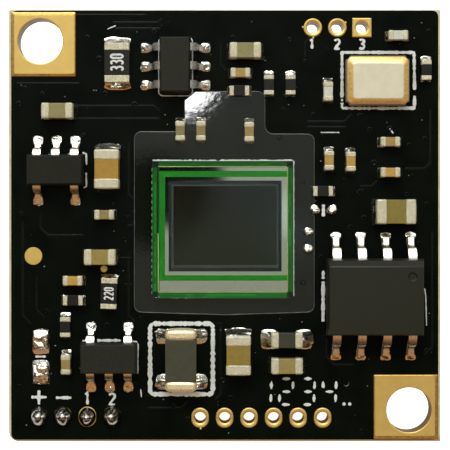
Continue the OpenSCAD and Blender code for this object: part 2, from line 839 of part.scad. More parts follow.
module processor_contacts() {
    color(SOLDER)
    place(PROCESSOR_AT) on_back() contact_set();
}

module back_lands() {
    color(GOLD)
    on_back() {
        place(PROCESSOR_AT) {
            at_contacts() land(-CONTACT.x, 0.35, CONTACT.y + 0.03);
            linear_extrude(copper_t) paddle_outline(paddle_w);
        }
        lands_under(CAPACITOR_0402, BACK_CAPACITORS);
    }
}

module back_capacitor_cores() {
    color([0.6, 0.5, 0.28])
    on_back() cores(CAPACITOR_0402, BACK_CAPACITORS);
}

module back_capacitor_ends() {
    color(SOLDER)
    on_back() ends(CAPACITOR_0402, BACK_CAPACITORS);
}

module back_solder() {
    color(SOLDER)
    on_back() {
        solder_at(CAPACITOR_0402, BACK_CAPACITORS);
        place(PROCESSOR_AT) at_contacts() solder_fillet(0.3, CONTACT.z, CONTACT.y);
    }
}

board();
corner_lands();
service_hole_lands();
control_hole_lands();
cable_hole_lands();
test_lands();
chip_lands();
package_lands();
sensor_lands();
back_lands();
sensor_balls();
sensor_die();
sensor_dam();
sensor_glass();
memory_body();
memory_leads();
switch_body();
switch_leads();
core_regulator_body();
core_regulator_leads();
io_regulator_body();
io_regulator_leads();
crystal_base();
crystal_blank();
crystal_seal_ring();
crystal_lid();
inductor_core();
inductor_ends();
ferrite_core();
ferrite_ends();
tan_capacitor_cores();
tan_capacitor_ends();
grey_capacitor_cores();
grey_capacitor_ends();
medium_capacitor_cores();
medium_capacitor_ends();
large_capacitor_cores();
large_capacitor_ends();
small_resistor_bases();
small_resistor_coats();
small_resistor_ends();
medium_resistor_base();
medium_resistor_coat();
medium_resistor_ends();
large_resistor_base();
large_resistor_coat();
large_resistor_ends();
chip_solder();
package_solder();
pin_solder();
bare_land_solder();
cable_housing();
cable_pins();
processor_body();
processor_contacts();
back_capacitor_cores();
back_capacitor_ends();
back_solder();
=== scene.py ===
"""Looks of a bare camera board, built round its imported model."""
import json
import math
import random

import bmesh
import bpy
from mathutils import Matrix, Vector, noise


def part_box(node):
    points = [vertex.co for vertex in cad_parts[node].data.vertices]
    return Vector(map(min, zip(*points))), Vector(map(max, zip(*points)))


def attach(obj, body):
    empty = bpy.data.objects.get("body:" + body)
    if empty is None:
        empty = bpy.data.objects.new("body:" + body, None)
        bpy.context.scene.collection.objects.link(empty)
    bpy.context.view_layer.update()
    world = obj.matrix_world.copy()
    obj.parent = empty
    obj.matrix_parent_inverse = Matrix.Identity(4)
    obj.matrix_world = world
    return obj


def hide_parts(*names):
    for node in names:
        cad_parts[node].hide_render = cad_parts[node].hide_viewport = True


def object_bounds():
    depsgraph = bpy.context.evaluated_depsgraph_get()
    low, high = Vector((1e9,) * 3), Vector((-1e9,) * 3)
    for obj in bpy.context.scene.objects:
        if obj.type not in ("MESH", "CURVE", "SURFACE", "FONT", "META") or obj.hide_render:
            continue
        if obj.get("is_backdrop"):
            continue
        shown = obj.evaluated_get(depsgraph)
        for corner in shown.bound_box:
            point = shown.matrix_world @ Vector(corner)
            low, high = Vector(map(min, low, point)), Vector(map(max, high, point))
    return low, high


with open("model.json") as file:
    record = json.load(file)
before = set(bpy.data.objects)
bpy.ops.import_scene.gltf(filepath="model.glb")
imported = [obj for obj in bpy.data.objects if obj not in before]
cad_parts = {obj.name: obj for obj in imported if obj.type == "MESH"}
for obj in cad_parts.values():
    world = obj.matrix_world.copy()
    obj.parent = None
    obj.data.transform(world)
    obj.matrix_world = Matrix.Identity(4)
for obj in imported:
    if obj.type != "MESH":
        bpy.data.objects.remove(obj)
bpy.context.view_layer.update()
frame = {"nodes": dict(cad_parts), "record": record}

bl_info = {
    "name": "Camera Board Looks",
    "version": (1, 0, 0),
    "blender": (4, 5, 0),
    "location": "3D View > Sidebar > Camera Board",
    "description": "Builds the finished pieces of a bare camera board round its packed model",
    "category": "Object",
}

# One millimetre, and the distances under which points are joined or heights are equal, in metres
MM = 0.001
WELD = 1e-6
SAME = 1e-7
BODY = "root"

# Heights over the board's front face, in millimetres
MASK_TOP = 0.014
POUR_TOP = 0.032
INK_H = 0.01

# Least height of a solder lump, in millimetres, and share of its width that a stroke keeps at its ends
LEAST_SOLDER = 0.004
STROKE_END = 0.7

# Tint of a part that has none of its own
PLAIN_TINT = 0.5

# Cuts on each side of a rounded end's middle, and the roundness of the line that it follows
TAPER_CUTS, TAPER_POWER = 3, 2.4

# Faces that look straight up or down by more than this stay flat-shaded
LEVEL = 0.99999


# ---------------------------------------------------------------- values a user would change


def colour(name, description, default):
    return bpy.props.FloatVectorProperty(
        name=name, description=description, default=default, min=0, max=1, size=3, subtype="COLOR"
    )


def millimetres(name, description, default):
    return bpy.props.FloatProperty(name=name, description=description, default=default, min=0)


def watts(name, description, default):
    return bpy.props.FloatProperty(name=name, description=description, default=default, min=0, unit="POWER")


class BoardLooks(bpy.types.PropertyGroup):
    mask: colour("Mask", "Colour of the black solder mask", (0.0019, 0.0030, 0.0016))
    mask_over_copper: colour(
        "Mask over copper", "Colour of the mask on the copper pour", (0.0045, 0.0064, 0.0036)
    )
    laminate: colour("Laminate", "Colour of the glass-epoxy edge", (0.42, 0.40, 0.27))
    ink: colour("Ink", "Colour of the printed lines and figures", (0.50, 0.53, 0.50))
    gold: colour("Gold", "Colour of the gold-plated lands", (0.60, 0.42, 0.115))
    edge_strip: millimetres("Edge strip", "Bare laminate left along each side, in millimetres", 0.1)


class MetalLooks(bpy.types.PropertyGroup):
    solder: colour("Solder", "Colour of the solder", (0.80, 0.78, 0.68))
    tin: colour("Tin", "Colour of the tinned chip ends", (0.66, 0.64, 0.45))
    lead: colour("Lead", "Colour of the package leads", (0.76, 0.73, 0.64))
    rim: colour("Rim", "Colour of the crystal's gold rim", (0.74, 0.52, 0.17))
    lid: colour("Lid", "Colour of the crystal's lid", (0.60, 0.56, 0.42))


class PartLooks(bpy.types.PropertyGroup):
    mould: colour("Mould compound", "Colour of the moulded packages", (0.0155, 0.0165, 0.0110))
    grey: colour("Grey ceramic", "Colour of the grey capacitors", (0.44, 0.46, 0.385))
    coat: colour("Resistor coat", "Colour of the resistors' coat", (0.0085, 0.0088, 0.0070))
    ferrite: colour("Ferrite", "Colour of the inductor's core", (0.040, 0.041, 0.024))
    nylon: colour("Nylon", "Colour of the cable header's housing", (0.74, 0.70, 0.58))


class SensorLooks(bpy.types.PropertyGroup):
    bright_green: colour("Bright green", "Colour of the inner green ring", (0.0042, 0.090, 0.0038))
    dark_green: colour("Dark green", "Colour of the outer green band", (0.0030, 0.048, 0.0042))
    silver: colour("Silver", "Colour of the metal rings", (0.97, 1.0, 0.88))


class StageLooks(bpy.types.PropertyGroup):
    camera_height: millimetres("Camera height", "Height of the camera over the board, in millimetres", 66)
    lens: millimetres("Lens", "Focal length for a 36 mm wide image, in millimetres", 103.5)
    key: watts("Key lamp", "Power of the lamp beyond the far edge", 0.60)


LOOKS = {
    "camera_board_board": BoardLooks,
    "camera_board_metal": MetalLooks,
    "camera_board_parts": PartLooks,
    "camera_board_sensor": SensorLooks,
    "camera_board_stage": StageLooks,
}


def looks(group):
    return getattr(bpy.context.scene, "camera_board_" + group)


# ---------------------------------------------------------------- reading the frame


def welded(node):
    """A CAD node's mesh with its doubled points joined."""
    bm = bmesh.new()
    bm.from_mesh(frame["nodes"][node].data)
    bmesh.ops.remove_doubles(bm, verts=bm.verts, dist=WELD)
    return bm


def solids_of(node):
    """The corner points of each separate solid of a CAD node, in metres."""
    bm = welded(node)
    seen, solids = set(), []
    for start in bm.verts:
        if start in seen:
            continue
        seen.add(start)
        points, queue = [], [start]
        while queue:
            vert = queue.pop()
            points.append(vert.co.copy())
            for edge in vert.link_edges:
                other = edge.other_vert(vert)
                if other not in seen:
                    seen.add(other)
                    queue.append(other)
        solids.append(points)
    bm.free()
    return solids


def board_thickness():
    return -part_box("board")[0].z / MM


def basis(x, y, at, up=1):
    """The frame with its origin at a point, its X and Y along two level directions."""
    return Matrix(((x.x, y.x, 0, at.x), (x.y, y.y, 0, at.y), (0, 0, up, at.z), (0, 0, 0, 1)))


def extent(points):
    """The lowest and the highest corner of the box round some points."""
    return [Vector([pick(p[axis] for p in points) for axis in range(3)]) for pick in (min, max)]


def at_mm(x, y, z=0.0):
    return Matrix.Translation((x * MM, y * MM, z * MM))


class Placed:
    """A solid's place: its middle, its long direction in plan, and its extents along that frame."""

    def __init__(self, points, along=None):
        self.low = min(p.z for p in points)
        self.high = max(p.z for p in points)
        middle = sum((Vector((p.x, p.y)) for p in points), Vector((0, 0))) / len(points)
        if along is None:
            sxx = sum((p.x - middle.x) ** 2 for p in points)
            syy = sum((p.y - middle.y) ** 2 for p in points)
            sxy = sum((p.x - middle.x) * (p.y - middle.y) for p in points)
            angle = 0.5 * math.atan2(2 * sxy, sxx - syy)
            along = Vector((math.cos(angle), math.sin(angle)))
        across = Vector((-along.y, along.x))
        u = [Vector((p.x, p.y)).dot(along) for p in points]
        v = [Vector((p.x, p.y)).dot(across) for p in points]
        self.along = along
        self.length = max(u) - min(u)
        self.width = max(v) - min(v)
        self.height = self.high - self.low
        self.centre = along * ((max(u) + min(u)) / 2) + across * ((max(v) + min(v)) / 2)

    def matrix(self, u=0.0, z=0.0):
        """Local frame at an offset from the middle of the base, +X along and +Z off the board."""
        x = Vector((self.along.x, self.along.y, 0))
        y = Vector((0, 0, 1)).cross(x)
        at = Vector((self.centre.x, self.centre.y, self.low)) + x * u
        at.z += z
        return basis(x, y, at)


def placed(node):
    return [Placed(points) for points in solids_of(node)]


# ---------------------------------------------------------------- making meshes


def mesh_of(name, bm):
    mesh = bpy.data.meshes.new(name)
    bm.to_mesh(mesh)
    bm.free()
    return mesh


def add_piece(name, bm, finishes, slot, stands_for=(), smooth=35):
    return dress(name, mesh_of(name, bm), finishes, slot, stands_for, smooth)


def coat_node(node, finish):
    """Gives a CAD node that stays in view its finish."""
    materials = frame["nodes"][node].data.materials
    materials.clear()
    materials.append(finish)


def dress(name, mesh, finishes, slot, stands_for=(), smooth=35):
    """A mesh becomes a piece: finishes, shading, body, and the CAD nodes it stands for. The slot is not used.
    """
    piece = bpy.data.objects.new(name, mesh)
    bpy.context.scene.collection.objects.link(piece)
    for finish in finishes:
        mesh.materials.append(finish)
    mesh.shade_smooth()
    mesh.set_sharp_from_angle(angle=math.radians(smooth))
    for face in mesh.polygons:
        face.use_smooth = abs(face.normal.z) < LEVEL
    weighted = piece.modifiers.new("even_normals", "WEIGHTED_NORMAL")
    weighted.keep_sharp = True
    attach(piece, BODY)
    if stands_for:
        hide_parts(*stands_for)
    return piece


def soften(bm, edge, segments=2, sharp=30):
    """Rounds every sharp edge of a closed mesh."""
    edges = [e for e in bm.edges if len(e.link_faces) == 2 and e.calc_face_angle(0) > math.radians(sharp)]
    bmesh.ops.bevel(
        bm, geom=edges, offset=edge * MM, offset_type="OFFSET", segments=segments,
        profile=0.5, affect="EDGES", clamp_overlap=True,
    )


def softened(node, name, edge, finish, slot, segments=2):
    """The CAD node's own shape with its edges rounded."""
    bm = welded(node)
    bmesh.ops.dissolve_limit(
        bm, angle_limit=math.radians(1), use_dissolve_boundaries=False, verts=bm.verts, edges=bm.edges
    )
    soften(bm, edge, segments)
    return add_piece(name, bm, [finish], slot, [node])


def block(bm, matrix, size, edge, segments=2, tint=None, curve=0.0):
    """A rounded block standing on the frame's XY plane, sizes in metres. With curve, its length tapers
    towards both sides by that share."""
    part = bmesh.new()
    bmesh.ops.create_cube(part, size=1)
    for vert in part.verts:
        vert.co = Vector((vert.co.x * size[0], vert.co.y * size[1], (vert.co.z + 0.5) * size[2]))
    soften(part, edge, segments)
    if curve:
        taper(part, size[1], curve)
    join(bm, part, matrix, tint=tint)


def taper(part, width, curve):
    """Shortens a block towards both sides, along a rounded line."""
    for k in range(-TAPER_CUTS, TAPER_CUTS + 1):
        bmesh.ops.bisect_plane(
            part, geom=part.verts[:] + part.edges[:] + part.faces[:], dist=1e-8,
            plane_co=(0, width * k / (2 * TAPER_CUTS + 1.5), 0), plane_no=(0, 1, 0),
        )
    for vert in part.verts:
        share = min(1, abs(2 * vert.co.y / width))
        vert.co.x *= 1 - curve * (1 - math.sqrt(max(0, 1 - share ** TAPER_POWER)))


def skin(bm, loops, turned=False):
    """Walls between loops that follow each other."""
    for low, high in zip(loops[:-1], loops[1:]):
        for k in range(len(low)):
            n = (k + 1) % len(low)
            quad = (low[k], low[n], high[n], high[k])
            bm.faces.new((low[k], high[k], high[n], low[n]) if turned else quad)


def skirted(bm, outline, levels, hole=None, hole_levels=()):
    """A closed plate with shaped edges. outline(inset) gives the outer loop and hole(r) the inner one, and
    each level is (inset or r, height); everything is in millimetres."""
    def loops(shape, steps):
        return [[bm.verts.new((x * MM, y * MM, z * MM)) for x, y in shape(value)] for value, z in steps]

    outer = loops(outline, levels)
    skin(bm, outer)
    if not hole:
        bm.faces.new(outer[-1])
        bm.faces.new(list(reversed(outer[0])))
        return
    inner = loops(hole, hole_levels)
    skin(bm, inner, True)
    for row, up in ((-1, 1), (0, -1)):
        rings = (outer[row], inner[row])
        rim = [bm.edges.get((loop[k], loop[k - 1])) for loop in rings for k in range(len(loop))]
        bmesh.ops.triangle_fill(bm, edges=rim, use_beauty=True, normal=(0, 0, up))


def join(bm, part, matrix, layer=0, tint=None):
    """Adds part to bm, placed by matrix, on a material layer and with its tint."""
    shade = bm.verts.layers.float.get("tint") or bm.verts.layers.float.new("tint")
    made = {}
    for vert in part.verts:
        made[vert] = bm.verts.new(matrix @ vert.co)
        made[vert][shade] = PLAIN_TINT if tint is None else tint
    for face in part.faces:
        bm.faces.new([made[v] for v in face.verts]).material_index = layer
    part.free()


def mound(bm, matrix, height, plan, cells):
    """A closed lump over a patch of the frame. height(u, v) and plan(u, v) give the height and the place of
    a point of the patch, for u from 0 to 1 and v from -1 to 1; all in metres."""
    top, base = [], []
    for i in range(cells + 1):
        for j in range(cells + 1):
            u, v = i / cells, 2 * j / cells - 1
            x, y = plan(u, v)
            top.append(bm.verts.new(matrix @ Vector((x, y, max(height(u, v), LEAST_SOLDER * MM)))))
            base.append(bm.verts.new(matrix @ Vector((x, y, 0))))
    row = cells + 1
    for i in range(cells):
        for j in range(cells):
            a = i * row + j
            quad = (a, a + row, a + row + 1, a + 1)
            bm.faces.new([top[k] for k in quad])
            bm.faces.new([base[k] for k in reversed(quad)])
    rim = [i * row for i in range(row)] + [cells * row + j for j in range(1, row)]
    rim += [i * row + cells for i in range(cells - 1, -1, -1)] + [j for j in range(cells - 1, 0, -1)]
    for k, a in enumerate(rim):
        b = rim[(k + 1) % len(rim)]
        bm.faces.new((top[b], top[a], base[a], base[b]))


def dome(bm, matrix, half_x, half_y, height, rings=7, around=24, rough=0.0, seed=0.0):
    """A closed lump on an oval foot. height(share of the radius, angle) is in metres."""
    centre = bm.verts.new(matrix @ Vector((0, 0, height(0, 0))))
    loops = []
    for i in range(1, rings + 1):
        share = i / rings
        loop = []
        for k in range(around):
            a = 2 * math.pi * k / around
            wobble = 1 + rough * noise.noise(Vector((math.cos(a), math.sin(a), seed)))
            x, y = half_x * share * math.cos(a) * wobble, half_y * share * math.sin(a) * wobble
            loop.append(bm.verts.new(matrix @ Vector((x, y, max(height(share, a), 0)))))
        loops.append(loop)
    for k in range(around):
        bm.faces.new((centre, loops[0][k], loops[0][(k + 1) % around]))
    skin(bm, loops, True)
    bm.faces.new(list(reversed(loops[-1])))


def ring(bm, x, y, r, z, steps):
    """A level circle of points, in millimetres."""
    turns = [2 * math.pi * k / steps for k in range(steps)]
    return [bm.verts.new(((x + r * math.cos(a)) * MM, (y + r * math.sin(a)) * MM, z * MM)) for a in turns]


def arc(x, y, r, start, end, steps=6):
    turn = [math.radians(start + (end - start) * i / steps) for i in range(steps + 1)]
    return [(x + r * math.cos(a), y + r * math.sin(a)) for a in turn]


def round_box(x0, y0, x1, y1, r, steps=5):
    return (
        arc(x1 - r, y1 - r, r, 0, 90, steps) + arc(x0 + r, y1 - r, r, 90, 180, steps)
        + arc(x0 + r, y0 + r, r, 180, 270, steps) + arc(x1 - r, y0 + r, r, 270, 360, steps)
    )


def circle(x, y, r, steps=48):
    return arc(x, y, r, 0, 360 * (steps - 1) / steps, steps - 1)


def add_line(curve, points):
    """One more straight-sided line on a curve, in millimetres."""
    spline = curve.splines.new("POLY")
    spline.points.add(len(points) - 1)
    for point, (x, y) in zip(spline.points, points):
        point.co = (x * MM, y * MM, 0, 1)
    return spline


def curve_mesh(name, curve, low, high, squeeze=1.0):
    """The mesh that a curve makes, halfway between two heights; the curve itself is removed."""
    shape = bpy.data.objects.new(name + "_curve", curve)
    bpy.context.scene.collection.objects.link(shape)
    bpy.context.view_layer.update()
    mesh = bpy.data.meshes.new_from_object(shape.evaluated_get(bpy.context.evaluated_depsgraph_get()))
    bpy.data.objects.remove(shape)
    bpy.data.curves.remove(curve)
    mesh.name = name
    mesh.transform(Matrix.Diagonal((1, 1, squeeze, 1)))
    mesh.transform(at_mm(0, 0, (low + high) / 2))
    return mesh


def plate_mesh(name, loops, low, high, edge=0.0):
    """A flat plate between two heights, in millimetres. A loop inside another one is a hole."""
    curve = bpy.data.curves.new(name, "CURVE")
    curve.dimensions = "2D"
    curve.fill_mode = "BOTH"
    curve.extrude = ((high - low) / 2 - edge) * MM
    curve.bevel_depth = edge * MM
    curve.bevel_resolution = 2
    curve.offset = -edge * MM
    for loop in loops:
        add_line(curve, loop).use_cyclic_u = True
    mesh = curve_mesh(name, curve, low, high)
    bm = bmesh.new()
    bm.from_mesh(mesh)
    bmesh.ops.remove_doubles(bm, verts=bm.verts, dist=SAME)
    bm.to_mesh(mesh)
    bm.free()
    return mesh


def stroke_mesh(name, strokes, width, low, high, ragged=0.0, step=0.07, lens=False):
    """Flat rounded bands along lines, between two heights, in millimetres. A lens band swells in its
    middle."""
    curve = bpy.data.curves.new(name, "CURVE")
    curve.dimensions = "3D"
    curve.bevel_depth = width / 2 * MM
    curve.bevel_resolution = 2
    curve.use_fill_caps = True
    for line in strokes:
        points = spaced(line, step)
        spline = add_line(curve, points)
        for k, (point, (x, y)) in enumerate(zip(spline.points, points)):
            point.radius = 1 + ragged * noise.noise(Vector((x * 9, y * 9, 0.5)))
            if lens:
                point.radius *= 0.35 + 0.65 * math.sin(math.pi * k / (len(points) - 1))
        for end in (0, -1):
            spline.points[end].radius *= STROKE_END
    return curve_mesh(name, curve, low, high, (high - low) / width)


def spaced(line, step):
    """The same line with a point at least every step."""
    points = [line[0]]
    for (x0, y0), (x1, y1) in zip(line[:-1], line[1:]):
        pieces = max(1, math.ceil(math.hypot(x1 - x0, y1 - y0) / step))
        points += [(x0 + (x1 - x0) * k / pieces, y0 + (y1 - y0) * k / pieces) for k in range(1, pieces + 1)]
    return points


def merged(name, meshes):
    bm = bmesh.new()
    for mesh in meshes:
        bm.from_mesh(mesh)
        bpy.data.meshes.remove(mesh)
    return mesh_of(name, bm)


# ---------------------------------------------------------------- finishes


class Tree:
    """Short calls for building a node tree. A value is a socket to link or what a socket is set to."""

    def __init__(self, tree):
        self.tree = tree

    def add(self, kind, *values, **settings):
        """A node with its settings; the values go to its first inputs."""
        node = self.tree.nodes.new("ShaderNode" + kind)
        for key, value in settings.items():
            setattr(node, key, value)
        for socket, value in zip(node.inputs, values):
            self.feed(value, socket)
        return node

    def link(self, source, target):
        self.tree.links.new(source, target)

    def feed(self, value, socket):
        if isinstance(value, bpy.types.NodeSocket):
            self.link(value, socket)
        else:
            socket.default_value = value

    def spread(self, source, low, high, start=0.3, end=0.7, curve="LINEAR"):
        """A value turned into another range."""
        return self.add("MapRange", source, start, end, low, high, interpolation_type=curve).outputs[0]

    def mix(self, share, first, second):
        """A colour between two others; each is a socket or three numbers."""
        node = self.add("Mix", share, data_type="RGBA")
        for value, socket in ((first, node.inputs[6]), (second, node.inputs[7])):
            self.feed(value if isinstance(value, bpy.types.NodeSocket) else (*value, 1), socket)
        return node.outputs[2]


class Nodes(Tree):
    """Short calls for building one material."""

    def __init__(self, name):
        self.material = bpy.data.materials.new(name)
        self.material.use_nodes = True
        super().__init__(self.material.node_tree)
        self.shader = self.tree.nodes["Principled BSDF"]
        self.output = self.tree.nodes["Material Output"]
        self.place = self.add("TexCoord").outputs["Object"]

    def set(self, **values):
        """Feeds the shader's inputs; an underscore stands for a space in their names."""
        for name, value in values.items():
            self.feed(value, self.shader.inputs[name.replace("_", " ")])
        return self.material

    def noise(self, size_mm, detail=3.0, stretch=(1, 1, 1)):
        """Noise whose features are about size_mm across."""
        mapping = self.add("Mapping", self.place)
        mapping.inputs["Scale"].default_value = [s / (size_mm * MM) for s in stretch]
        node = self.add("TexNoise", mapping.outputs[0])
        node.inputs["Scale"].default_value = 1
        node.inputs["Detail"].default_value = detail
        return node.outputs["Fac"]

    def bump(self, source, depth_um, after=None):
        node = self.add("Bump")
        node.inputs["Distance"].default_value = depth_um * 1e-6
        self.link(source, node.inputs["Height"])
        if after:
            self.link(after, node.inputs["Normal"])
        return node.outputs["Normal"]

    def attribute(self, name):
        return self.add("Attribute", attribute_name=name).outputs["Fac"]


def shade(tone, factor):
    return tuple(min(1, max(0, c * factor)) for c in tone)


def finish(name, tone, rough=0.5, metal=0.0, specular=0.5, mottle=0.25, mottle_mm=0.4, grain_mm=0.05,
           grain_um=1.0, swell_mm=0.0, swell_um=0.0, rough_spread=0.08, tinted=None):
    """A surface with a mottled colour, a fine grain, a slow swell and an uneven gloss."""
    n = Nodes(name)
    blotch = n.spread(n.noise(mottle_mm), 0, 1)
    base = n.mix(blotch, shade(tone, 1 - mottle), shade(tone, 1 + mottle))
    if tinted:
        second = n.mix(blotch, shade(tinted, 1 - mottle), shade(tinted, 1 + mottle))
        base = n.mix(n.attribute("tint"), base, second)
    grain = n.noise(grain_mm, 2)
    normal = n.bump(grain, grain_um)
    if swell_mm:
        normal = n.bump(n.noise(swell_mm, 1), swell_um, normal)
    gloss = n.spread(grain, rough - rough_spread, rough + rough_spread)
    return n.set(Base_Color=base, Roughness=gloss, Normal=normal, Metallic=metal, Specular_IOR_Level=specular)


def mask_finish():
    return finish("solder_mask", looks("board").mask, rough=0.34, specular=0.03, mottle=0.35, mottle_mm=1.2,
                  grain_mm=0.06, grain_um=0.6, swell_mm=0.5, swell_um=1.5)


def pour_finish():
    return finish("mask_over_copper", looks("board").mask_over_copper, rough=0.03, specular=0.74, mottle=0.12,
                  mottle_mm=0.5, grain_mm=0.045, grain_um=0.3, swell_mm=0.3, swell_um=0.8, rough_spread=0.01)


# Painted warm shade: the laminate turns brown between these distances from the near side, in millimetres
NEAR_SHADE_EDGE = (0.35, 0.1)


def laminate_finish():
    """Glass-epoxy: pale resin with glass plies seen along the edge, brown at the near side as painted warm
    shade.
    """
    n = Nodes("laminate")
    tone, painted_brown = looks("board").laminate, (0.30, 0.20, 0.11)
    plies = n.spread(n.noise(0.11, 2, (0.12, 0.12, 1)), 0, 1, 0.4, 0.6)
    fibres = n.spread(n.noise(0.05, 3), 0, 1)
    base = n.mix(plies, shade(tone, 0.62), tone)
    base = n.mix(fibres, base, shade(tone, 1.15))
    # Towards the near side the laminate turns brown: painted warm shade
    split = n.add("SeparateXYZ", n.place)
    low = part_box("board")[0].y
    near = n.spread(split.outputs["Y"], 0, 1, low + NEAR_SHADE_EDGE[0] * MM, low + NEAR_SHADE_EDGE[1] * MM)
    return n.set(Base_Color=n.mix(near, base, painted_brown), Normal=n.bump(n.noise(0.03, 3), 4),
                 Roughness=n.spread(fibres, 0.55, 0.75))


def ink_finish():
    return finish("printed_ink", looks("board").ink, rough=0.6, mottle=0.12, mottle_mm=0.15, grain_mm=0.03,
                  grain_um=2)


def gold_finish():
    return finish("gold_plating", looks("board").gold, rough=0.42, metal=0.6, mottle=0.05, mottle_mm=0.5,
                  grain_mm=0.025, grain_um=0.25, swell_mm=0.3, swell_um=0.6, rough_spread=0.05)


def solder_finish():
    return finish("solder", looks("metal").solder, rough=0.20, metal=1, mottle=0.18, mottle_mm=0.08,
                  grain_mm=0.05, grain_um=3.5, swell_mm=0.16, swell_um=9, rough_spread=0.1)


def tin_finish():
    """Fired metal ends: cream grains with dark pits between them."""
    n = Nodes("tinned_ends")
    tone = looks("metal").tin
    pits = n.spread(n.noise(0.034, 3), 0, 1, 0.40, 0.56)
    light = n.mix(n.spread(n.noise(0.3, 2), 0, 1), shade(tone, 0.85), shade(tone, 1.08))
    return n.set(Base_Color=n.mix(pits, shade(tone, 0.42), light), Roughness=n.spread(pits, 0.6, 0.42),
                 Normal=n.bump(n.noise(0.15, 1), 5, n.bump(pits, 5)), Metallic=0.35)


def lead_finish():
    return finish("package_leads", looks("metal").lead, rough=0.27, metal=1, mottle=0.12, mottle_mm=0.12,
                  grain_mm=0.03, grain_um=1.2, swell_mm=0.15, swell_um=2, rough_spread=0.08)


def mould_finish(name="mould_compound", share=(1, 1, 1), rough=0.52, specular=0.12, mottle=0.22):
    """The moulding compound, or one darker by a share of each colour."""
    tone = tuple(part * level for part, level in zip(share, looks("parts").mould))
    return finish(name, tone, rough=rough, specular=specular, mottle=mottle, mottle_mm=0.08, grain_mm=0.03,
                  grain_um=2.5)


def ceramic_finish(name, tone, tinted=None):
    return finish(name, tone, rough=0.38, specular=0.3, mottle=0.10, mottle_mm=0.25, grain_mm=0.02,
                  grain_um=0.8, tinted=tinted)


def gold_shadow_finish(name, rough):
    """Gold that mirrors little, darkened as painted shade: barrel walls and steep edges."""
    return finish(name, (0.20, 0.115, 0.028), rough=rough, metal=0.6, mottle=0.3, mottle_mm=0.3)


def field_finish():
    """The light-sensitive field: a dark film whose tone turns from brown to blue-grey across the die and to
    green towards its near side, a painted reflection.
    """
    painted_brown, blue_grey, green = (0.0040, 0.0024, 0.0016), (0.0040, 0.0068, 0.0076), (0.0032, 0.0052, 0.0014)
    n = Nodes("light_field")
    low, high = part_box("sensor_glass")
    split = n.add("SeparateXYZ", n.place)
    # The tones spread across and down the die are a painted reflection
    across = n.spread(split.outputs["X"], 0, 1, low.x * 0.6, high.x * 0.8)
    down = n.spread(split.outputs["Y"], 0, 1, high.y * 0.8, low.y * 0.6)
    return n.set(Base_Color=n.mix(down, n.mix(across, painted_brown, blue_grey), green),
                 Roughness=n.spread(n.noise(0.9, 4), 0.05, 0.09), Specular_IOR_Level=0.64)


# How far the sensor leans off the board, as the X and Y of its surface normal
SENSOR_LEAN = (-0.0076, -0.0083, 0)


def lean(material, offset):
    """Turns what a finish mirrors, by a small offset on its surface normal."""
    n = Tree(material.node_tree)
    socket = n.tree.nodes["Principled BSDF"].inputs["Normal"]
    flat = n.add("NewGeometry").outputs["Normal"]
    source = socket.links[0].from_socket if socket.links else flat
    leant = n.add("VectorMath", source, offset, operation="ADD").outputs[0]
    n.link(n.add("VectorMath", leant, operation="NORMALIZE").outputs[0], socket)


def glass_finish():
    """Clear cover glass. Lamps reach what lies under it."""
    n = Nodes("cover_glass")
    n.set(Base_Color=(0.93, 0.97, 0.95, 1), Roughness=0.0, Transmission_Weight=1, IOR=1.16,
          Specular_IOR_Level=0.5)
    shadow, clear = n.add("LightPath").outputs["Is Shadow Ray"], n.add("BsdfTransparent").outputs[0]
    mix = n.add("MixShader", shadow, n.shader.outputs[0], clear)
    n.link(mix.outputs[0], n.output.inputs["Surface"])
    return n.material


# ---------------------------------------------------------------- the board


ROWS = ("service_hole_lands", "control_hole_lands", "cable_hole_lands")
OPEN_VIA = (6.2, -8.05)
OPEN_VIA_R = 0.15

# The mask's opening: what it leaves free round a mounting hole, and its radius round a bore of the rows
MOUNT_GAP, BORE_OPENING = 0.25, 0.34


def edges_mm(low, high):
    return low.x / MM, low.y / MM, high.x / MM, high.y / MM


def board_edges():
    return edges_mm(*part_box("board"))


def middle_mm(node):
    """Middle and half sizes of a node's box in plan, in millimetres."""
    low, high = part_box(node)
    return ((low.x + high.x) / 2 / MM, (low.y + high.y) / 2 / MM,
            (high.x - low.x) / 2 / MM, (high.y - low.y) / 2 / MM)


def mount_holes():
    """Middle of each mounting hole, from the stated hole circle."""
    mount = next(m for m in frame["record"]["mounts"] if m["name"] == "mounting_holes")
    reach = mount["dims"]["pcd_mm"] / 2 / math.sqrt(2)
    return [(-reach, reach), (reach, -reach)], mount["dims"]["hole_r_mm"]


def bore_places(node):
    return [(p.centre.x / MM, p.centre.y / MM) for p in placed(node)]


def mask_mesh(name, low, high):
    """One face's solder mask, open round every plated hole and kept off the board's edges."""
    x0, y0, x1, y1 = board_edges()
    strip = looks("board").edge_strip
    holes, mount_r = mount_holes()
    loops = [round_box(x0 + strip * 1.15, y0 + strip * 0.85, x1 - strip, y1 - 0.03, 0.3)]
    loops += [circle(x, y, mount_r + MOUNT_GAP) for x, y in holes]
    loops += [circle(x, y, BORE_OPENING, 24) for node in ROWS for x, y in bore_places(node)]
    loops.append(circle(*OPEN_VIA, OPEN_VIA_R, 24))
    return plate_mesh(name, loops, low, high, 0.005)


class CAMERABOARD_OT_board(bpy.types.Operator):
    """Laminate and the solder mask on both faces"""
    bl_idname = "camera_board.board"
    bl_label = "Board"

    def execute(self, context):
        coat_node("board", laminate_finish())
        black, under = mask_finish(), -board_thickness()
        for name, low, high in (("front_mask", 0, MASK_TOP), ("back_mask", under - MASK_TOP, under)):
            dress(name, mask_mesh(name, low, high), [black], "mask")
        return {"FINISHED"}


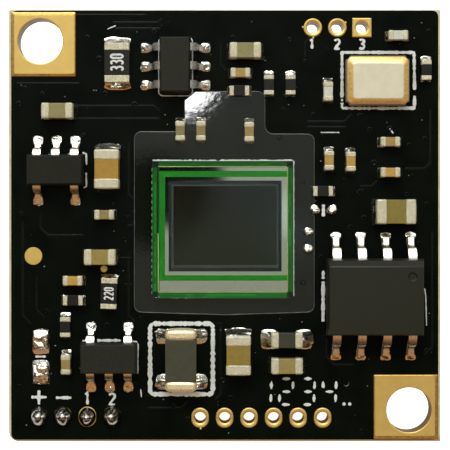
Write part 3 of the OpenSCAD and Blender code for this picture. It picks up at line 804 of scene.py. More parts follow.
def pour_outline():
    """Copper pour round the sensor, with its tongue towards the power switch."""
    left, right, top, bottom = -4.60, 4.57, 4.78, -4.42
    tongue_left, tongue_right, tongue_top = -2.04, 2.05, 6.83
    r, inner_r, small_r = 0.35, 0.45, 0.15
    return (
        arc(right - r, top - 0.47, r, 0, 90)
        + arc(tongue_right + inner_r, top + 0.33, inner_r, 270, 180)
        + arc(tongue_right - r, tongue_top - r, r, 0, 90)
        + [(tongue_left + 0.55, tongue_top), (tongue_left, tongue_top - 0.45)]
        + arc(tongue_left - small_r, top + small_r, small_r, 0, -90, 3)
        + arc(left + r, top - r, r, 90, 180)
        + arc(left + r, bottom + r, r, 180, 270)
        + [(0, bottom - 0.13)]
        + arc(right - r, bottom + r, r, 270, 360)
    )


# Lines of buried copper that show through the mask, as (points, width)
TRACES = [
    ([(-7.9, 6.1), (-3.6, 6.1), (-3.3, 5.8)], 0.12),
    ([(-7.5, 5.45), (-3.3, 5.45)], 0.12),
    ([(-5.7, 10.35), (-3.4, 10.35), (-3.2, 10.55)], 0.12),
    ([(-5.6, 10.05), (-3.3, 10.05)], 0.12),
    ([(4.2, 5.3), (6.1, 5.3), (6.5, 5.7)], 0.12),
    ([(4.2, 5.02), (6.2, 5.02)], 0.12),
    ([(-10.3, 0.2), (-10.3, -4.6), (-9.9, -5.0)], 0.14),
    ([(-9.6, -2.6), (-9.6, -4.3), (-9.2, -4.7)], 0.12),
    ([(-7.2, -0.5), (-9.0, -0.5), (-9.4, -0.1), (-9.4, 0.6)], 0.12),
    ([(-4.9, -1.3), (-4.9, -4.6), (-4.6, -4.9)], 0.12),
    ([(-0.2, 9.3), (-0.2, 8.2), (0.1, 7.9)], 0.12),
    ([(4.1, 8.6), (4.1, 9.3), (4.4, 9.6)], 0.12),
    ([(10.5, 5.9), (10.5, 3.2), (10.2, 2.9), (9.2, 2.9)], 0.14),
    ([(6.9, 2.0), (7.5, 2.0), (7.8, 2.3)], 0.12),
    ([(10.6, -0.3), (10.6, -6.2), (10.2, -6.6)], 0.14),
    ([(5.2, -5.4), (5.2, -6.7), (5.6, -7.1), (6.6, -7.1)], 0.12),
    ([(-0.2, -4.9), (-0.2, -8.6), (-0.5, -8.9)], 0.12),
    ([(-3.9, -9.3), (-2.2, -9.3), (-1.9, -9.0)], 0.12),
    ([(-4.2, 0.9), (-4.9, 1.6), (-4.9, 4.3)], 0.12),
    ([(-5.3, -1.65), (-4.75, -1.65)], 0.10),
    ([(-5.1, -3.0), (-4.75, -3.0)], 0.10),
    ([(-4.95, 0.0), (-4.7, 0.0)], 0.10),
    ([(-7.6, 10.75), (-4.0, 10.75)], 0.10),
    ([(-10.6, 7.25), (-7.4, 7.25)], 0.12),
]

VIAS = [
    (-10.2, 7.0), (-9.3, 6.7), (-6.4, 8.5), (-7.0, 9.6), (-6.1, 6.75), (-4.6, 6.2), (-5.1, 3.9), (-7.2, 4.6),
    (-10.4, 0.6), (-10.5, 6.2), (-8.6, -0.7), (-4.9, 0.4), (-5.1, -0.7), (-9.1, -4.4), (-3.6, 9.9),
    (-3.2, 8.9), (-6.0, -5.1), (-4.9, -5.0), (-5.2, -7.1), (-4.6, -8.1), (0.4, 9.6), (2.0, 8.5), (3.6, 7.0),
    (4.1, 8.4), (2.1, 6.3), (3.0, 5.9), (4.5, 5.7), (5.1, 4.6), (6.2, 3.1), (2.8, 4.5), (7.4, 4.9),
    (8.4, 4.95), (9.4, 4.1), (10.2, 4.4), (10.3, 1.1), (9.3, 1.6), (7.6, 3.2), (6.9, 1.7), (7.1, 0.4),
    (6.4, -0.1), (4.9, -1.6), (5.1, -5.7), (9.9, -0.9), (10.4, -3.7), (10.3, -6.4), (5.0, -8.4), (5.9, -6.6),
    (-0.3, -5.1), (-0.1, -7.9), (2.1, -6.1), (-2.6, -9.2), (-4.3, -4.7), (0.3, -8.8), (4.0, 2.2), (4.0, -2.9),
    (-4.1, -1.2), (-4.1, 2.7), (6.0, 6.4), (6.9, 5.6), (10.4, 9.9), (3.3, 9.5), (-10.5, -8.2), (-1.9, -9.9),
    (7.0, -10.5), (-8.3, 10.5),
]


# Wall of a covered via, as (share of its radius, height in millimetres on a via of the common radius)
VIA_WALL = [(1.0, 0.0), (0.8, 0.006), (0.62, 0.010), (0.54, 0.008), (0.44, -0.012), (0.3, -0.02)]
VIA_R, VIA_STEPS = 0.13, 16

# Radii of the covered vias, in millimetres, and the two heights between which the open one's plug, a dark
# disc that is painted shadow, sits
VIA_RANGE = (0.1, 0.17)
PLUG = (-0.98, -0.2)

# How far flecks keep from the middle or the edge of what is bare, in millimetres
CLEAR_OF_HOLE, CLEAR_OF_CORNER, CLEAR_OF_BORE, CLEAR_OF_LAND = 0.75, 1.8, 0.6, 0.1
FLECKS, FLECK_R, FLECK_STRETCH = 150, (0.008, 0.026), (0.7, 1.8)
VIA_SEED, FLECK_SEED = 11, 4


def via_pit(bm, x, y, r):
    """A mask-covered via: a very low collar with a steep wall down to its floor. Its dark tone comes from a
    darker mask finish, painted shade.
    """
    collar, sunk = MASK_TOP + 0.012, MASK_TOP - 0.014
    loops = [ring(bm, x, y, r * share, collar + z * r / VIA_R, VIA_STEPS) for share, z in VIA_WALL]
    base = [bm.verts.new((v.co.x, v.co.y, sunk * MM)) for v in loops[0]]
    skin(bm, [base] + loops)
    bm.faces.new(loops[-1])
    bm.faces.new(list(reversed(base)))


def free_spot(x, y, margin):
    """True where no hole or gold land lies within the margin, in millimetres."""
    holes, mount_r = mount_holes()
    if min(math.hypot(x - hx, y - hy) for hx, hy in holes) < mount_r + CLEAR_OF_HOLE + margin:
        return False
    if any(max(abs(x - hx), abs(y - hy)) < CLEAR_OF_CORNER + margin for hx, hy in holes):
        return False
    bores = [place for node in ROWS for place in bore_places(node)]
    return min(math.hypot(x - hx, y - hy) for hx, hy in bores) > CLEAR_OF_BORE + margin


def fleck(bm, x, y, z, half_x, half_y, height):
    """One tiny bead, in millimetres."""
    def bulge(share, a):
        return height * MM * (1 - share * share)

    dome(bm, at_mm(x, y, z), half_x * MM, half_y * MM, bulge, 2, 7)


def flecks(bm):
    """Tiny beads of flux and dust left on the mask, and a pale bead in every third covered via that stands
    for its glint, a painted highlight.
    """
    dice = random.Random(FLECK_SEED)
    # Beside every third covered via a pale bead: painted highlight of its glint
    for x, y in VIAS[::3]:
        fleck(bm, x + 0.04, y - 0.08, MASK_TOP + 0.006, 0.028, 0.022, 0.012)
    x0, y0, x1, y1 = board_edges()
    for _ in range(FLECKS):
        x, y = dice.uniform(x0 + 0.4, x1 - 0.4), dice.uniform(y0 + 0.4, y1 - 0.4)
        r = dice.uniform(*FLECK_R)
        if free_spot(x, y, CLEAR_OF_LAND):
            fleck(bm, x, y, MASK_TOP - 0.002, r * dice.uniform(*FLECK_STRETCH), r, r * 0.7)


class CAMERABOARD_OT_copper(bpy.types.Operator):
    """Copper under the mask: the pour, the traces and the vias"""
    bl_idname = "camera_board.copper"
    bl_label = "Buried copper"

    def execute(self, context):
        self.pour()
        self.traces()
        self.vias()
        return {"FINISHED"}

    def pour(self):
        outline = pour_outline()
        pour = plate_mesh("copper_pour", [outline], MASK_TOP - 0.004, POUR_TOP, 0.008)
        dress("copper_pour", pour, [pour_finish()], "mask")
        # A low ridge along the pour's outline in a lighter mask: the lighter tone is a painted highlight of
        # the edge
        rim = stroke_mesh("pour_rim", [outline + outline[:1]], 0.05, POUR_TOP - 0.008, POUR_TOP + 0.006)
        edge_highlight = finish("mask_on_copper_edge", (0.040, 0.042, 0.037), rough=0.2, mottle=0.4, mottle_mm=0.6)
        dress("pour_rim", rim, [edge_highlight], "mask")

    def traces(self):
        low, high = MASK_TOP - 0.008, MASK_TOP + 0.010
        ridges = [stroke_mesh("trace", [line], width, low, high) for line, width in TRACES]
        raised = finish("mask_on_traces", (0.0040, 0.0052, 0.0038), rough=0.3, specular=0.08, mottle=0.4,
                        mottle_mm=0.8, grain_um=0.6)
        dress("trace_ridges", merged("trace_ridges", ridges), [raised], "mask")

    def vias(self):
        # The open via is stopped by a dark plug inside it: painted shadow of the hole
        plug = plate_mesh("via_floor", [circle(*OPEN_VIA, OPEN_VIA_R - 0.001, 24)], *PLUG, 0.01)
        shadow = finish("via_shadow", (0.0015, 0.0018, 0.0015), rough=0.5, specular=0.1)
        dress("via_floor", plug, [shadow], "mask")
        # Covered vias take a darker mask than the board: painted shade
        gloss = finish("via_mask", (0.0006, 0.0009, 0.0006), rough=0.25, specular=0.16, mottle=0.1,
                       grain_um=0.2)
        dice = random.Random(VIA_SEED)
        bm = bmesh.new()
        for x, y in VIAS:
            via_pit(bm, x, y, dice.uniform(*VIA_RANGE))
        add_piece("covered_vias", bm, [gloss], "mask")
        bm = bmesh.new()
        flecks(bm)
        # The same finish serves the dust beads and the painted glints
        add_piece("flux_flecks", bm, [finish("flux", (0.30, 0.31, 0.29), rough=0.4)], "solder")


# ---------------------------------------------------------------- printed marks


FIGURES = {
    "0": [arc(0.5, 0.35, 0.35, 180, 360, 8) + arc(0.5, 1.15, 0.35, 0, 180, 8) + [(0.15, 0.35)]],
    "1": [[(0.25, 1.2), (0.5, 1.5), (0.5, 0)]],
    "2": [arc(0.5, 1.1, 0.38, 160, -30, 8) + [(0.12, 0), (0.9, 0)]],
    "3": [arc(0.48, 1.13, 0.35, 150, -90, 8) + arc(0.48, 0.38, 0.4, 90, -150, 8)],
    "4": [[(0.7, 0), (0.7, 1.5), (0.1, 0.45), (0.95, 0.45)]],
    "5": [[(0.85, 1.5), (0.2, 1.5), (0.17, 0.85)] + arc(0.47, 0.45, 0.42, 120, -150, 9)],
    "6": [arc(0.5, 1.0, 0.5, 60, 180, 6) + [(0.0, 0.45)] + arc(0.5, 0.45, 0.45, 180, 540, 14)],
    "7": [[(0.1, 1.5), (0.9, 1.5), (0.4, 0)]],
    "8": [arc(0.5, 1.13, 0.34, -90, 270, 14), arc(0.5, 0.4, 0.4, 90, 450, 14)],
    "+": [[(0.1, 0.6), (0.9, 0.6)], [(0.5, 0.2), (0.5, 1.0)]],
    "-": [[(0.1, 0.6), (0.9, 0.6)]],
}


def figures(text, x, y, height, turn=0, pitch=1.25, narrow=1.0):
    """Strokes of plain figures. x, y is the left end of the base line; turn is in degrees."""
    scale = height / 1.5
    c, s = math.cos(math.radians(turn)), math.sin(math.radians(turn))
    strokes = []
    for k, letter in enumerate(text):
        for line in FIGURES[letter]:
            flat = [((px + k * pitch) * scale * narrow, py * scale) for px, py in line]
            strokes.append([(x + c * px - s * py, y + s * px + c * py) for px, py in flat])
    return strokes


# Bars of a lit-segment figure: top, upper left, upper right, middle, lower left, lower right, bottom
SEGMENTS = {"1": "0010010", "2": "1011101", "3": "1011011", "4": "0111010"}
BARS = [
    [(0.2, 1), (0.8, 1)], [(0.02, 0.6), (0.0, 0.9)], [(1.0, 0.6), (1.02, 0.9)], [(0.2, 0.5), (0.8, 0.5)],
    [(-0.04, 0.1), (-0.02, 0.4)], [(0.96, 0.1), (0.98, 0.4)], [(0.16, 0), (0.76, 0)],
]


def segment_strokes(text, x, y, width, height, pitch):
    strokes = []
    for k, letter in enumerate(text):
        for lit, bar in zip(SEGMENTS[letter], BARS):
            if lit == "1":
                strokes.append([(x + k * pitch + px * width, y + py * height) for px, py in bar])
    return strokes


def box_stroke(x0, y0, x1, y1, r):
    loop = round_box(x0, y0, x1, y1, r)
    return loop + [loop[0]]


def lines_on_mask():
    """Crisp and faint lines printed on the mask, as (strokes, width)."""
    crisp = [
        (figures("1", 4.3, 9.02, 0.48), 0.12), (figures("2", 5.58, 9.02, 0.48), 0.12),
        (figures("3", 6.84, 9.02, 0.48), 0.12),
        ([[(-9.86, -8.75), (-9.08, -8.75)], [(-9.47, -8.4), (-9.47, -9.12)]], 0.13),
        ([[(-8.6, -8.78), (-7.82, -8.78)]], 0.14),
        (figures("1", -7.2, -9.12, 0.62), 0.12), (figures("2", -5.93, -9.12, 0.56), 0.11),
        ([box_stroke(-3.8, -8.6, -0.6, -5.0, 0.22)], 0.21),
        ([[(5.99, 5.99), (5.99, 8.83), (9.66, 8.83), (9.69, 6.92)],
          [(9.69, 6.62), (9.68, 5.99), (5.99, 5.99)]], 0.15),
        ([[(5.03, -2.3), (5.03, -2.72)], [(5.03, -2.85), (5.02, -4.9)]], 0.17),
        ([[(10.2, -3.2), (10.26, -3.6), (10.3, -5.1)]], 0.055),
        ([[(5.04, 0.47), (5.04, 1.08)]], 0.15),
        ([[(-9.65, -6.68), (-9.12, -6.68)]], 0.11),
        ([[(4.9, 4.75), (5.85, 4.75)]], 0.05),
    ]
    faint = [
        ([box_stroke(-3.36, 6.62, -1.64, 9.6, 0.22)], 0.055),
        ([[(-7.25, 3.72), (-7.06, 3.66), (-7.04, 3.1)], [(-7.06, 2.7), (-7.05, 2.0), (-7.2, 1.93)]], 0.085),
        ([[(-9.0, 3.62), (-8.75, 3.62)], [(-8.0, 3.64), (-7.75, 3.64)], [(-9.95, 3.55), (-9.85, 3.62)],
          [(-10.05, 2.9), (-10.05, 2.3)]], 0.06),
        ([[(-6.5, -5.86), (-5.3, -5.86)]], 0.13),
        ([[(-7.25, -5.88), (-7.0, -5.86)], [(-4.85, -5.9), (-4.5, -5.92), (-4.42, -6.1), (-4.44, -7.55)]],
         0.08),
        ([[(-5.98, 10.02), (-5.55, 10.2)], [(8.42, 4.95), (8.6, 4.7)], [(-4.02, 4.02), (-3.96, 4.3)],
          [(-4.28, -8.35), (-4.24, -8.75)]], 0.06),
    ]
    return crisp + faint


class CAMERABOARD_OT_printing(bpy.types.Operator):
    """White ink: part outlines, plain figures and signs"""
    bl_idname = "camera_board.printing"
    bl_label = "Printing"

    def execute(self, context):
        ink = ink_finish()
        self.on_mask(ink)
        self.round_sensor(ink)
        return {"FINISHED"}

    def on_mask(self, ink):
        low, high = MASK_TOP - 0.002, MASK_TOP + INK_H
        meshes = [stroke_mesh("ink", lines, width, low, high, 0.55, 0.05) for lines, width in lines_on_mask()]
        date = segment_strokes("1234", 1.72, -9.13, 0.66, 1.32, 1.1)
        meshes.append(stroke_mesh("ink", date, 0.16, low, high, 0.35, 0.04, lens=True))
        meshes += [plate_mesh("ink", [circle(x, -9.1, 0.085, 16)], low, high, 0.003) for x in (6.09, 6.38)]
        dress("ink_on_mask", merged("ink_on_mask", meshes), [ink], "mask")

    def round_sensor(self, ink):
        """A worn line on each side of the sensor, as (strokes, width, raggedness, step)."""
        low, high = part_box("sensor_glass")
        x0, y0, x1, y1 = low.x / MM - 0.05, low.y / MM - 0.04, high.x / MM + 0.05, high.y / MM + 0.06
        right = x1 + 0.015
        dashes = [[(x0, y0 + 0.2 + k * 0.33), (x0, y0 + 0.35 + k * 0.33)] for k in range(20)]
        sides = [
            ([[(x0 + 0.03, y1), (x1 - 0.03, y1)]], 0.09, 1.3, 0.04),
            (dashes, 0.035, 0.3, 0.07),
            ([[(right, y1), (right, y0 + 0.1)]], 0.07, 0.8, 0.05),
            ([[(x0 + 0.3, y0), (x1 - 0.3, y0)]], 0.025, 0.6, 0.07),
        ]
        base, crest = POUR_TOP - 0.002, POUR_TOP + INK_H
        meshes = [stroke_mesh("ink", lines, width, base, crest, *wear_and_shade) for lines, width, *wear_and_shade in sides]
        dress("ink_round_sensor", merged("ink_round_sensor", meshes), [ink], "mask")


# ---------------------------------------------------------------- lands


def barrel(bm, x, y, r, low, high, steps=32):
    """The inside of a plated hole: a thin closed tube."""
    outer = r + PLATING
    loops = [ring(bm, x, y, q, z, steps) for q, z in ((r, high), (r, low), (outer, low), (outer, high))]
    skin(bm, loops + loops[:1], True)


def twin_land(bm, outline, edge, hole, rim):
    """A land on the front face and its mirror image on the back."""
    skirted(bm, outline, edge, hole, rim)
    part = bmesh.new()
    skirted(part, outline, edge, hole, rim)
    bmesh.ops.reverse_faces(part, faces=part.faces[:])
    join(bm, part, at_mm(0, 0, -board_thickness()) @ Matrix.Diagonal((1, 1, -1, 1)))


# Lands of the hole rows: half their width and height, and what their corner radius lacks of half the width
OVAL, ROUND, SQUARE = (0.45, 0.52, 0.01), (0.48, 0.48, 0.001), (0.5, 0.5, None)
SQUARE_CORNER = 0.03
BORE_R = 0.29
PLATING = 0.02
SPUR_R = 0.07

# The small spurs of some lands, by row and place in it, from the middle of the hole
SPURS = {
    ("service_hole_lands", 0): [(-0.5, 0.02), (0.02, -0.52)],
    ("service_hole_lands", 1): [(0.42, 0.26)],
    ("control_hole_lands", 0): [(0.03, -0.55)],
}


class CAMERABOARD_OT_lands(bpy.types.Operator):
    """Gold lands: corners, hole rows and test points"""
    bl_idname = "camera_board.lands"
    bl_label = "Gold lands"

    def execute(self, context):
        gold = gold_finish()
        copper_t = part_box("corner_lands")[1].z / MM
        self.corners(gold, copper_t)
        for node, name in zip(ROWS, ("gold_service_row", "gold_control_row", "gold_cable_row")):
            self.row(node, name, gold, copper_t)
        softened("test_lands", "gold_test_points", 0.015, gold, "gold")
        wetted = solder_finish()
        for node in ("sensor_lands", "back_lands"):
            coat_node(node, wetted)
        return {"FINISHED"}

    def corners(self, gold, copper_t):
        """The two corner lands: a flat inside a broad sloped edge, on both faces. The edge and the hole's
        walls take darker gold as painted shade.
        """
        holes, mount_r = mount_holes()
        bm = bmesh.new()
        for points in solids_of("corner_lands"):
            self.corner(bm, points, holes, mount_r, copper_t)
        # Sloped edge faces take a darker gold and the hole's walls a darker one still: painted shade
        for face in bm.faces:
            middle = face.calc_center_median() / MM
            clear = min(math.hypot(middle.x - x, middle.y - y) for x, y in holes) > mount_r + 0.1
            if clear and abs(face.normal.z) < 0.9995:
                face.material_index = 1
            if not clear and abs(face.normal.z) < 0.1:
                face.material_index = 2
        wear_and_shade = finish("worn_gold_edge", (0.46, 0.27, 0.065), rough=0.35, metal=0.7, mottle=0.25,
                      mottle_mm=0.2, grain_mm=0.03, grain_um=0.6)
        dim = gold_shadow_finish("dim_gold", 0.4)
        add_piece("gold_corners", bm, [gold, wear_and_shade, dim], "gold", ["corner_lands"])

    def corner(self, bm, points, holes, mount_r, copper_t):
        x0, y0, x1, y1 = edges_mm(*extent(points))
        hx, hy = min(holes, key=lambda h: math.hypot(h[0] - (x0 + x1) / 2, h[1] - (y0 + y1) / 2))

        def outline(inset):
            """The sloped edge is broader on the sides at the board's edges than on the two others."""
            thin = inset * 0.3
            box = (x0 + thin, y0 + inset, x1 - inset, y1 - thin)
            if x0 < 0:
                box = (x0 + inset, y0 + inset * 0.8, x1 - thin, y1 - inset)
            return round_box(*box, 0.05 + inset * 0.25)

        def hole(r):
            return circle(hx, hy, r, 64)

        edge = [(0.0, 0.0), (0.02, 0.018), (0.07, 0.03), (0.14, copper_t - 0.008), (0.18, copper_t)]
        rim = [(0.0, 0.0), (0.0, copper_t - 0.02), (0.02, copper_t - 0.006), (0.05, copper_t)]
        twin_land(bm, outline, edge, hole, [(mount_r + wider, z) for wider, z in rim])
        barrel(bm, hx, hy, mount_r, -board_thickness(), 0.0, 64)

    def row(self, node, name, gold, copper_t):
        edge = [(0.0, 0.0), (0.01, 0.022), (0.035, copper_t - 0.008), (0.06, copper_t)]
        rim = [(0.0, 0.0), (0.0, 0.004), (0.04, copper_t - 0.018), (0.085, copper_t - 0.004), (0.1, copper_t)]
        rim = [(BORE_R + wider, z) for wider, z in rim]

        def spur(share, a):
            return (copper_t - 0.002) * MM * (1 - share ** 3)

        bm = bmesh.new()
        for k, (x, y) in enumerate(sorted(bore_places(node))):
            shape = OVAL
            if node == "service_hole_lands":
                shape = SQUARE if k == 2 else ROUND

            def outline(inset, x=x, y=y, shape=shape):
                w, h = shape[0] - inset, shape[1] - inset
                corner = SQUARE_CORNER if shape is SQUARE else w - shape[2]
                return round_box(x - w, y - h, x + w, y + h, corner, 15)

            def hole(r, x=x, y=y):
                return arc(x, y, r, 2.8, 357.2, 63)

            twin_land(bm, outline, edge, hole, rim)
            barrel(bm, x, y, BORE_R, -board_thickness(), 0.004)
            for dx, dy in SPURS.get((node, k), []):
                dome(bm, at_mm(x + dx, y + dy), SPUR_R * MM, SPUR_R * MM, spur, 3, 12)
        # Walls down the bore take a darker gold: painted shade
        for face in bm.faces:
            if abs(face.normal.z) < 0.05 and face.calc_center_median().z < -0.05 * MM:
                face.material_index = 1
        add_piece(name, bm, [gold, gold_shadow_finish("bore_gold", 0.35)], "gold", [node])


# ---------------------------------------------------------------- image sensor


# Finishes of the sensor's plates, in the order of their material slots
(OUTER_GREEN, INNER_GREEN, SILVER, DARK_RING, LINE, FIELD, TEETH, CORNER, AMBER) = range(9)

# Plates on the die, from the sensor's middle. Rings from the outside in, as (inner edge, thickness, finish)
SENSOR_RINGS = [
    ((-3.20, -2.573, 3.26, 2.95), 0.030, OUTER_GREEN),
    ((-2.906, -2.307, 3.255, 2.658), 0.034, INNER_GREEN),
    ((-2.727, -2.118, 2.979, 2.474), 0.028, SILVER),
    ((-2.585, -1.925, 2.812, 2.270), 0.020, DARK_RING),
    ((-2.485, -1.790, 2.732, 2.203), 0.022, LINE),
]
# Bars on top of the outer ring, as (edges, thickness, finish)
SENSOR_BARS = [
    ((-3.19, -3.14, 3.255, -2.583), 0.008, SILVER),
    ((-3.20, 2.963, 3.255, 3.143), 0.008, SILVER),
    ((-3.26, -3.18, 3.255, -3.15), 0.006, AMBER),
    ((-3.26, 3.17, 3.255, 3.20), 0.006, AMBER),
    ((-3.27, -3.14, -3.235, -0.2), 0.006, AMBER),
    ((-3.31, -0.2, -3.235, 3.14), 0.006, CORNER),
    ((3.27, -3.14, 3.30, 3.14), 0.006, AMBER),
]
FIELD_H = 0.024
BAR_FOOT = 0.030
CORNER_HALF, CORNER_INSET, CORNER_H = 0.145, 0.16, 0.012

# Teeth along the edge: size, gap and height, and how far from the corner their rows start; noise leaves
# some of them out
TOOTH, TOOTH_GAP, TOOTH_H = 0.05, 0.062, 0.01
SIDE_START, NEAR_START = 0.4, 1.7


def rect_plate(bm, x0, y0, x1, y1, low, high, layer):
    part = bmesh.new()
    bmesh.ops.create_cube(part, size=1)
    for vert in part.verts:
        vert.co = Vector((vert.co.x * (x1 - x0) + (x0 + x1) / 2, vert.co.y * (y1 - y0) + (y0 + y1) / 2,
                          (vert.co.z + 0.5) * (high - low) + low)) * MM
    join(bm, part, Matrix.Identity(4), layer)


def sensor_finishes():
    tone = looks("sensor")
    finishes = [
        finish("sensor_outer_green", tone.dark_green, rough=0.45, specular=0.1, mottle=0.15, mottle_mm=0.2),
        finish("sensor_inner_green", tone.bright_green, rough=0.4, specular=0.1, mottle=0.08, mottle_mm=0.3),
        finish("sensor_silver", tone.silver, rough=0.03, metal=1, mottle=0.04, mottle_mm=0.3, grain_um=0.0,
               rough_spread=0.0),
        finish("sensor_dark_ring", (0.0036, 0.0062, 0.0062), rough=0.2, specular=0.3, mottle=0.1,
               grain_um=0.1),
        finish("sensor_line", (0.016, 0.020, 0.015), rough=0.3, specular=0.3, mottle=0.1, grain_um=0.1),
        field_finish(),
        finish("sensor_teeth", (0.006, 0.19, 0.022), rough=0.35, specular=0.1, mottle=0.3, mottle_mm=0.1,
               grain_um=0.3),
        finish("sensor_corner", (0.002, 0.005, 0.002), rough=0.4, specular=0.1, mottle=0.3, grain_um=0.3),
        finish("sensor_amber_line", (0.20, 0.22, 0.08), rough=0.3, mottle=0.2, grain_um=0.1),
    ]
    for material in finishes:
        lean(material, SENSOR_LEAN)
    return finishes


def ring_plates(bm, outer, inner, low, high, layer):
    """A rectangular ring as four butted bars."""
    x0, y0, x1, y1 = outer
    a0, b0, a1, b1 = inner
    rect_plate(bm, x0, y0, a0, y1, low, high, layer)
    rect_plate(bm, a1, y0, x1, y1, low, high, layer)
    rect_plate(bm, a0, y0, a1, b0, low, high, layer)
    rect_plate(bm, a0, b1, a1, y1, low, high, layer)


class CAMERABOARD_OT_sensor(bpy.types.Operator):
    """Image sensor: die with its rings and field, wall, cover glass and balls"""
    bl_idname = "camera_board.sensor"
    bl_label = "Image sensor"

    def execute(self, context):
        bm = bmesh.new()
        self.plates(bm)
        add_piece("sensor_rings", bm, sensor_finishes(), "sensor_wall", ["sensor_dam"])
        silicon = finish("silicon", (0.06, 0.075, 0.08), rough=0.3, metal=0.6)
        softened("sensor_die", "sensor_silicon", 0.02, silicon, "silicon")
        softened("sensor_glass", "sensor_cover_glass", 0.018, glass_finish(), "cover_glass", 1)
        self.balls()
        return {"FINISHED"}

    def plates(self, bm):
        cx, cy, hx, hy = middle_mm("sensor_glass")
        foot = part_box("sensor_dam")[0].z / MM
        lift = foot + BAR_FOOT

        def at(x0, y0, x1, y1):
            return cx + x0, cy + y0, cx + x1, cy + y1

        def tooth(x, y, wide, tall):
            rect_plate(bm, *at(x, y, x + wide, y + tall), lift, lift + TOOTH_H, TEETH)

        outer = at(-hx, -hy, hx, hy)
        for edges, thick, layer in SENSOR_RINGS:
            ring_plates(bm, outer, at(*edges), foot, foot + thick, layer)
            outer = at(*edges)
        rect_plate(bm, *outer, foot, foot + FIELD_H, FIELD)
        for edges, thick, layer in SENSOR_BARS:
            rect_plate(bm, *at(*edges), lift, lift + thick, layer)
        half, inset = CORNER_HALF, CORNER_INSET
        for x in (inset - hx, hx - inset):
            for y in (inset - hy, hy - inset):
                rect_plate(bm, *at(x - half, y - half, x + half, y + half), lift, lift + CORNER_H, CORNER)
        pitch = TOOTH + TOOTH_GAP
        for k in range(int(2 * (hy - SIDE_START) / pitch)):
            y = -hy + SIDE_START + k * pitch
            if noise.noise(Vector((0, y * 1.3, 3))) > -0.22:
                tooth(-hx + 0.11, y, 0.05, TOOTH)
            if noise.noise(Vector((0, y * 1.1, 8))) > 0.02:
                tooth(hx - 0.18, y, 0.06, TOOTH)
        for k in range(int(2 * (hx - NEAR_START) / pitch)):
            x = -hx + NEAR_START + k * pitch
            if noise.noise(Vector((x * 1.2, 0, 5))) > -0.05:
                tooth(x, -hy + 0.11, TOOTH, 0.06)

    def balls(self):
        bm = bmesh.new()
        for ball in placed("sensor_balls"):
            place = Matrix.Translation((ball.centre.x, ball.centre.y, (ball.low + ball.high) / 2))
            bmesh.ops.create_uvsphere(
                bm, u_segments=14, v_segments=8, radius=ball.length / 2,
                matrix=place @ Matrix.Diagonal((1, 1, 0.6, 1)),
            )
        add_piece("sensor_solder_balls", bm, [solder_finish()], "solder", ["sensor_balls"])


# ---------------------------------------------------------------- packages


# Middle line of a bent lead, as shares of its reach and of its height
LEAD_LINE = [
    (-0.2, 1.0), (0.0, 0.99), (0.1, 0.95), (0.41, 0.73), (0.46, 0.66), (0.5, 0.52), (0.54, 0.32),
    (0.58, 0.19), (0.63, 0.13), (0.7, 0.105), (0.9, 0.03), (1.0, 0.0),
]
SHOULDER, NECK, FOOT_WIDENING = 0.42, 0.64, 0.1


def neck(u):
    """Share of a lead's full width at a share of its reach: narrow below the shoulder."""
    return 1.0 if u < SHOULDER else NECK + FOOT_WIDENING * max(0.0, u - 0.6) / 0.4


def lead_strip(bm, matrix, reach, width, thick, rise):
    """One gull-wing lead. The frame's origin is on the body's wall at the land, +X pointing outward."""
    line = [Vector((u * reach, 0, thick / 2 + share * (rise - thick))) for u, share in LEAD_LINE]
    part = bmesh.new()
    loops = []
    for k, spot in enumerate(line):
        ahead = line[min(k + 1, len(line) - 1)] - line[max(k - 1, 0)]
        normal = Vector((-ahead.z, 0, ahead.x)).normalized() * (thick / 2)
        side = Vector((0, width / 2 * neck(LEAD_LINE[k][0]), 0))
        corners = (spot + normal + side, spot + normal - side, spot - normal - side, spot - normal + side)
        loops.append([part.verts.new(corner) for corner in corners])
    skin(part, loops, True)
    part.faces.new(loops[0])
    part.faces.new(list(reversed(loops[-1])))
    soften(part, 0.022, 2, 50)
    join(bm, part, matrix)


# Thickness of each package's leads, in millimetres
LEAD_THICK = {"memory": 0.2, "switch": 0.15, "core_regulator": 0.15, "io_regulator": 0.15}


class CAMERABOARD_OT_packages(bpy.types.Operator):
    """Moulded packages with their bent leads"""
    bl_idname = "camera_board.packages"
    bl_label = "Packages"

    def execute(self, context):
        mould, lead = mould_finish(), lead_finish()
        compounds = {
            "memory": mould_finish("memory_compound", (0.58, 0.62, 0.38), 0.40, 0.32, 0.25),
            "core_regulator": mould_finish("regulator_compound", (0.8, 0.8, 0.8), specular=0.10),
        }
        for name, thick in LEAD_THICK.items():
            softened(name + "_body", name + "_mould", 0.035, compounds.get(name, mould), "mould_compound")
            bm = bmesh.new()
            low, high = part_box(name + "_body")
            for points in solids_of(name + "_leads"):
                self.bent(bm, points, low, high, thick * MM)
            add_piece(name + "_lead_strips", bm, [lead], "tinned_leads", [name + "_leads"])
        return {"FINISHED"}

    def bent(self, bm, points, low, high, thick):
        """The lead in place of a CAD solid, on whichever wall of the body it comes out of."""
        base, top = extent(points)
        middle = (base + top) / 2
        for axis, sign in ((1, 1), (1, -1), (0, 1), (0, -1)):
            wall, tip = (high[axis], top[axis]) if sign > 0 else (low[axis], base[axis])
            if (tip - wall) * sign > 0:
                break
        out, at = Vector((0, 0, 0)), Vector((middle.x, middle.y, base.z))
        out[axis], at[axis] = sign, wall
        width = top[1 - axis] - base[1 - axis]
        matrix = basis(out, Vector((0, 0, 1)).cross(out), at)
        lead_strip(bm, matrix, (tip - wall) * sign, width, thick, top.z - base.z)


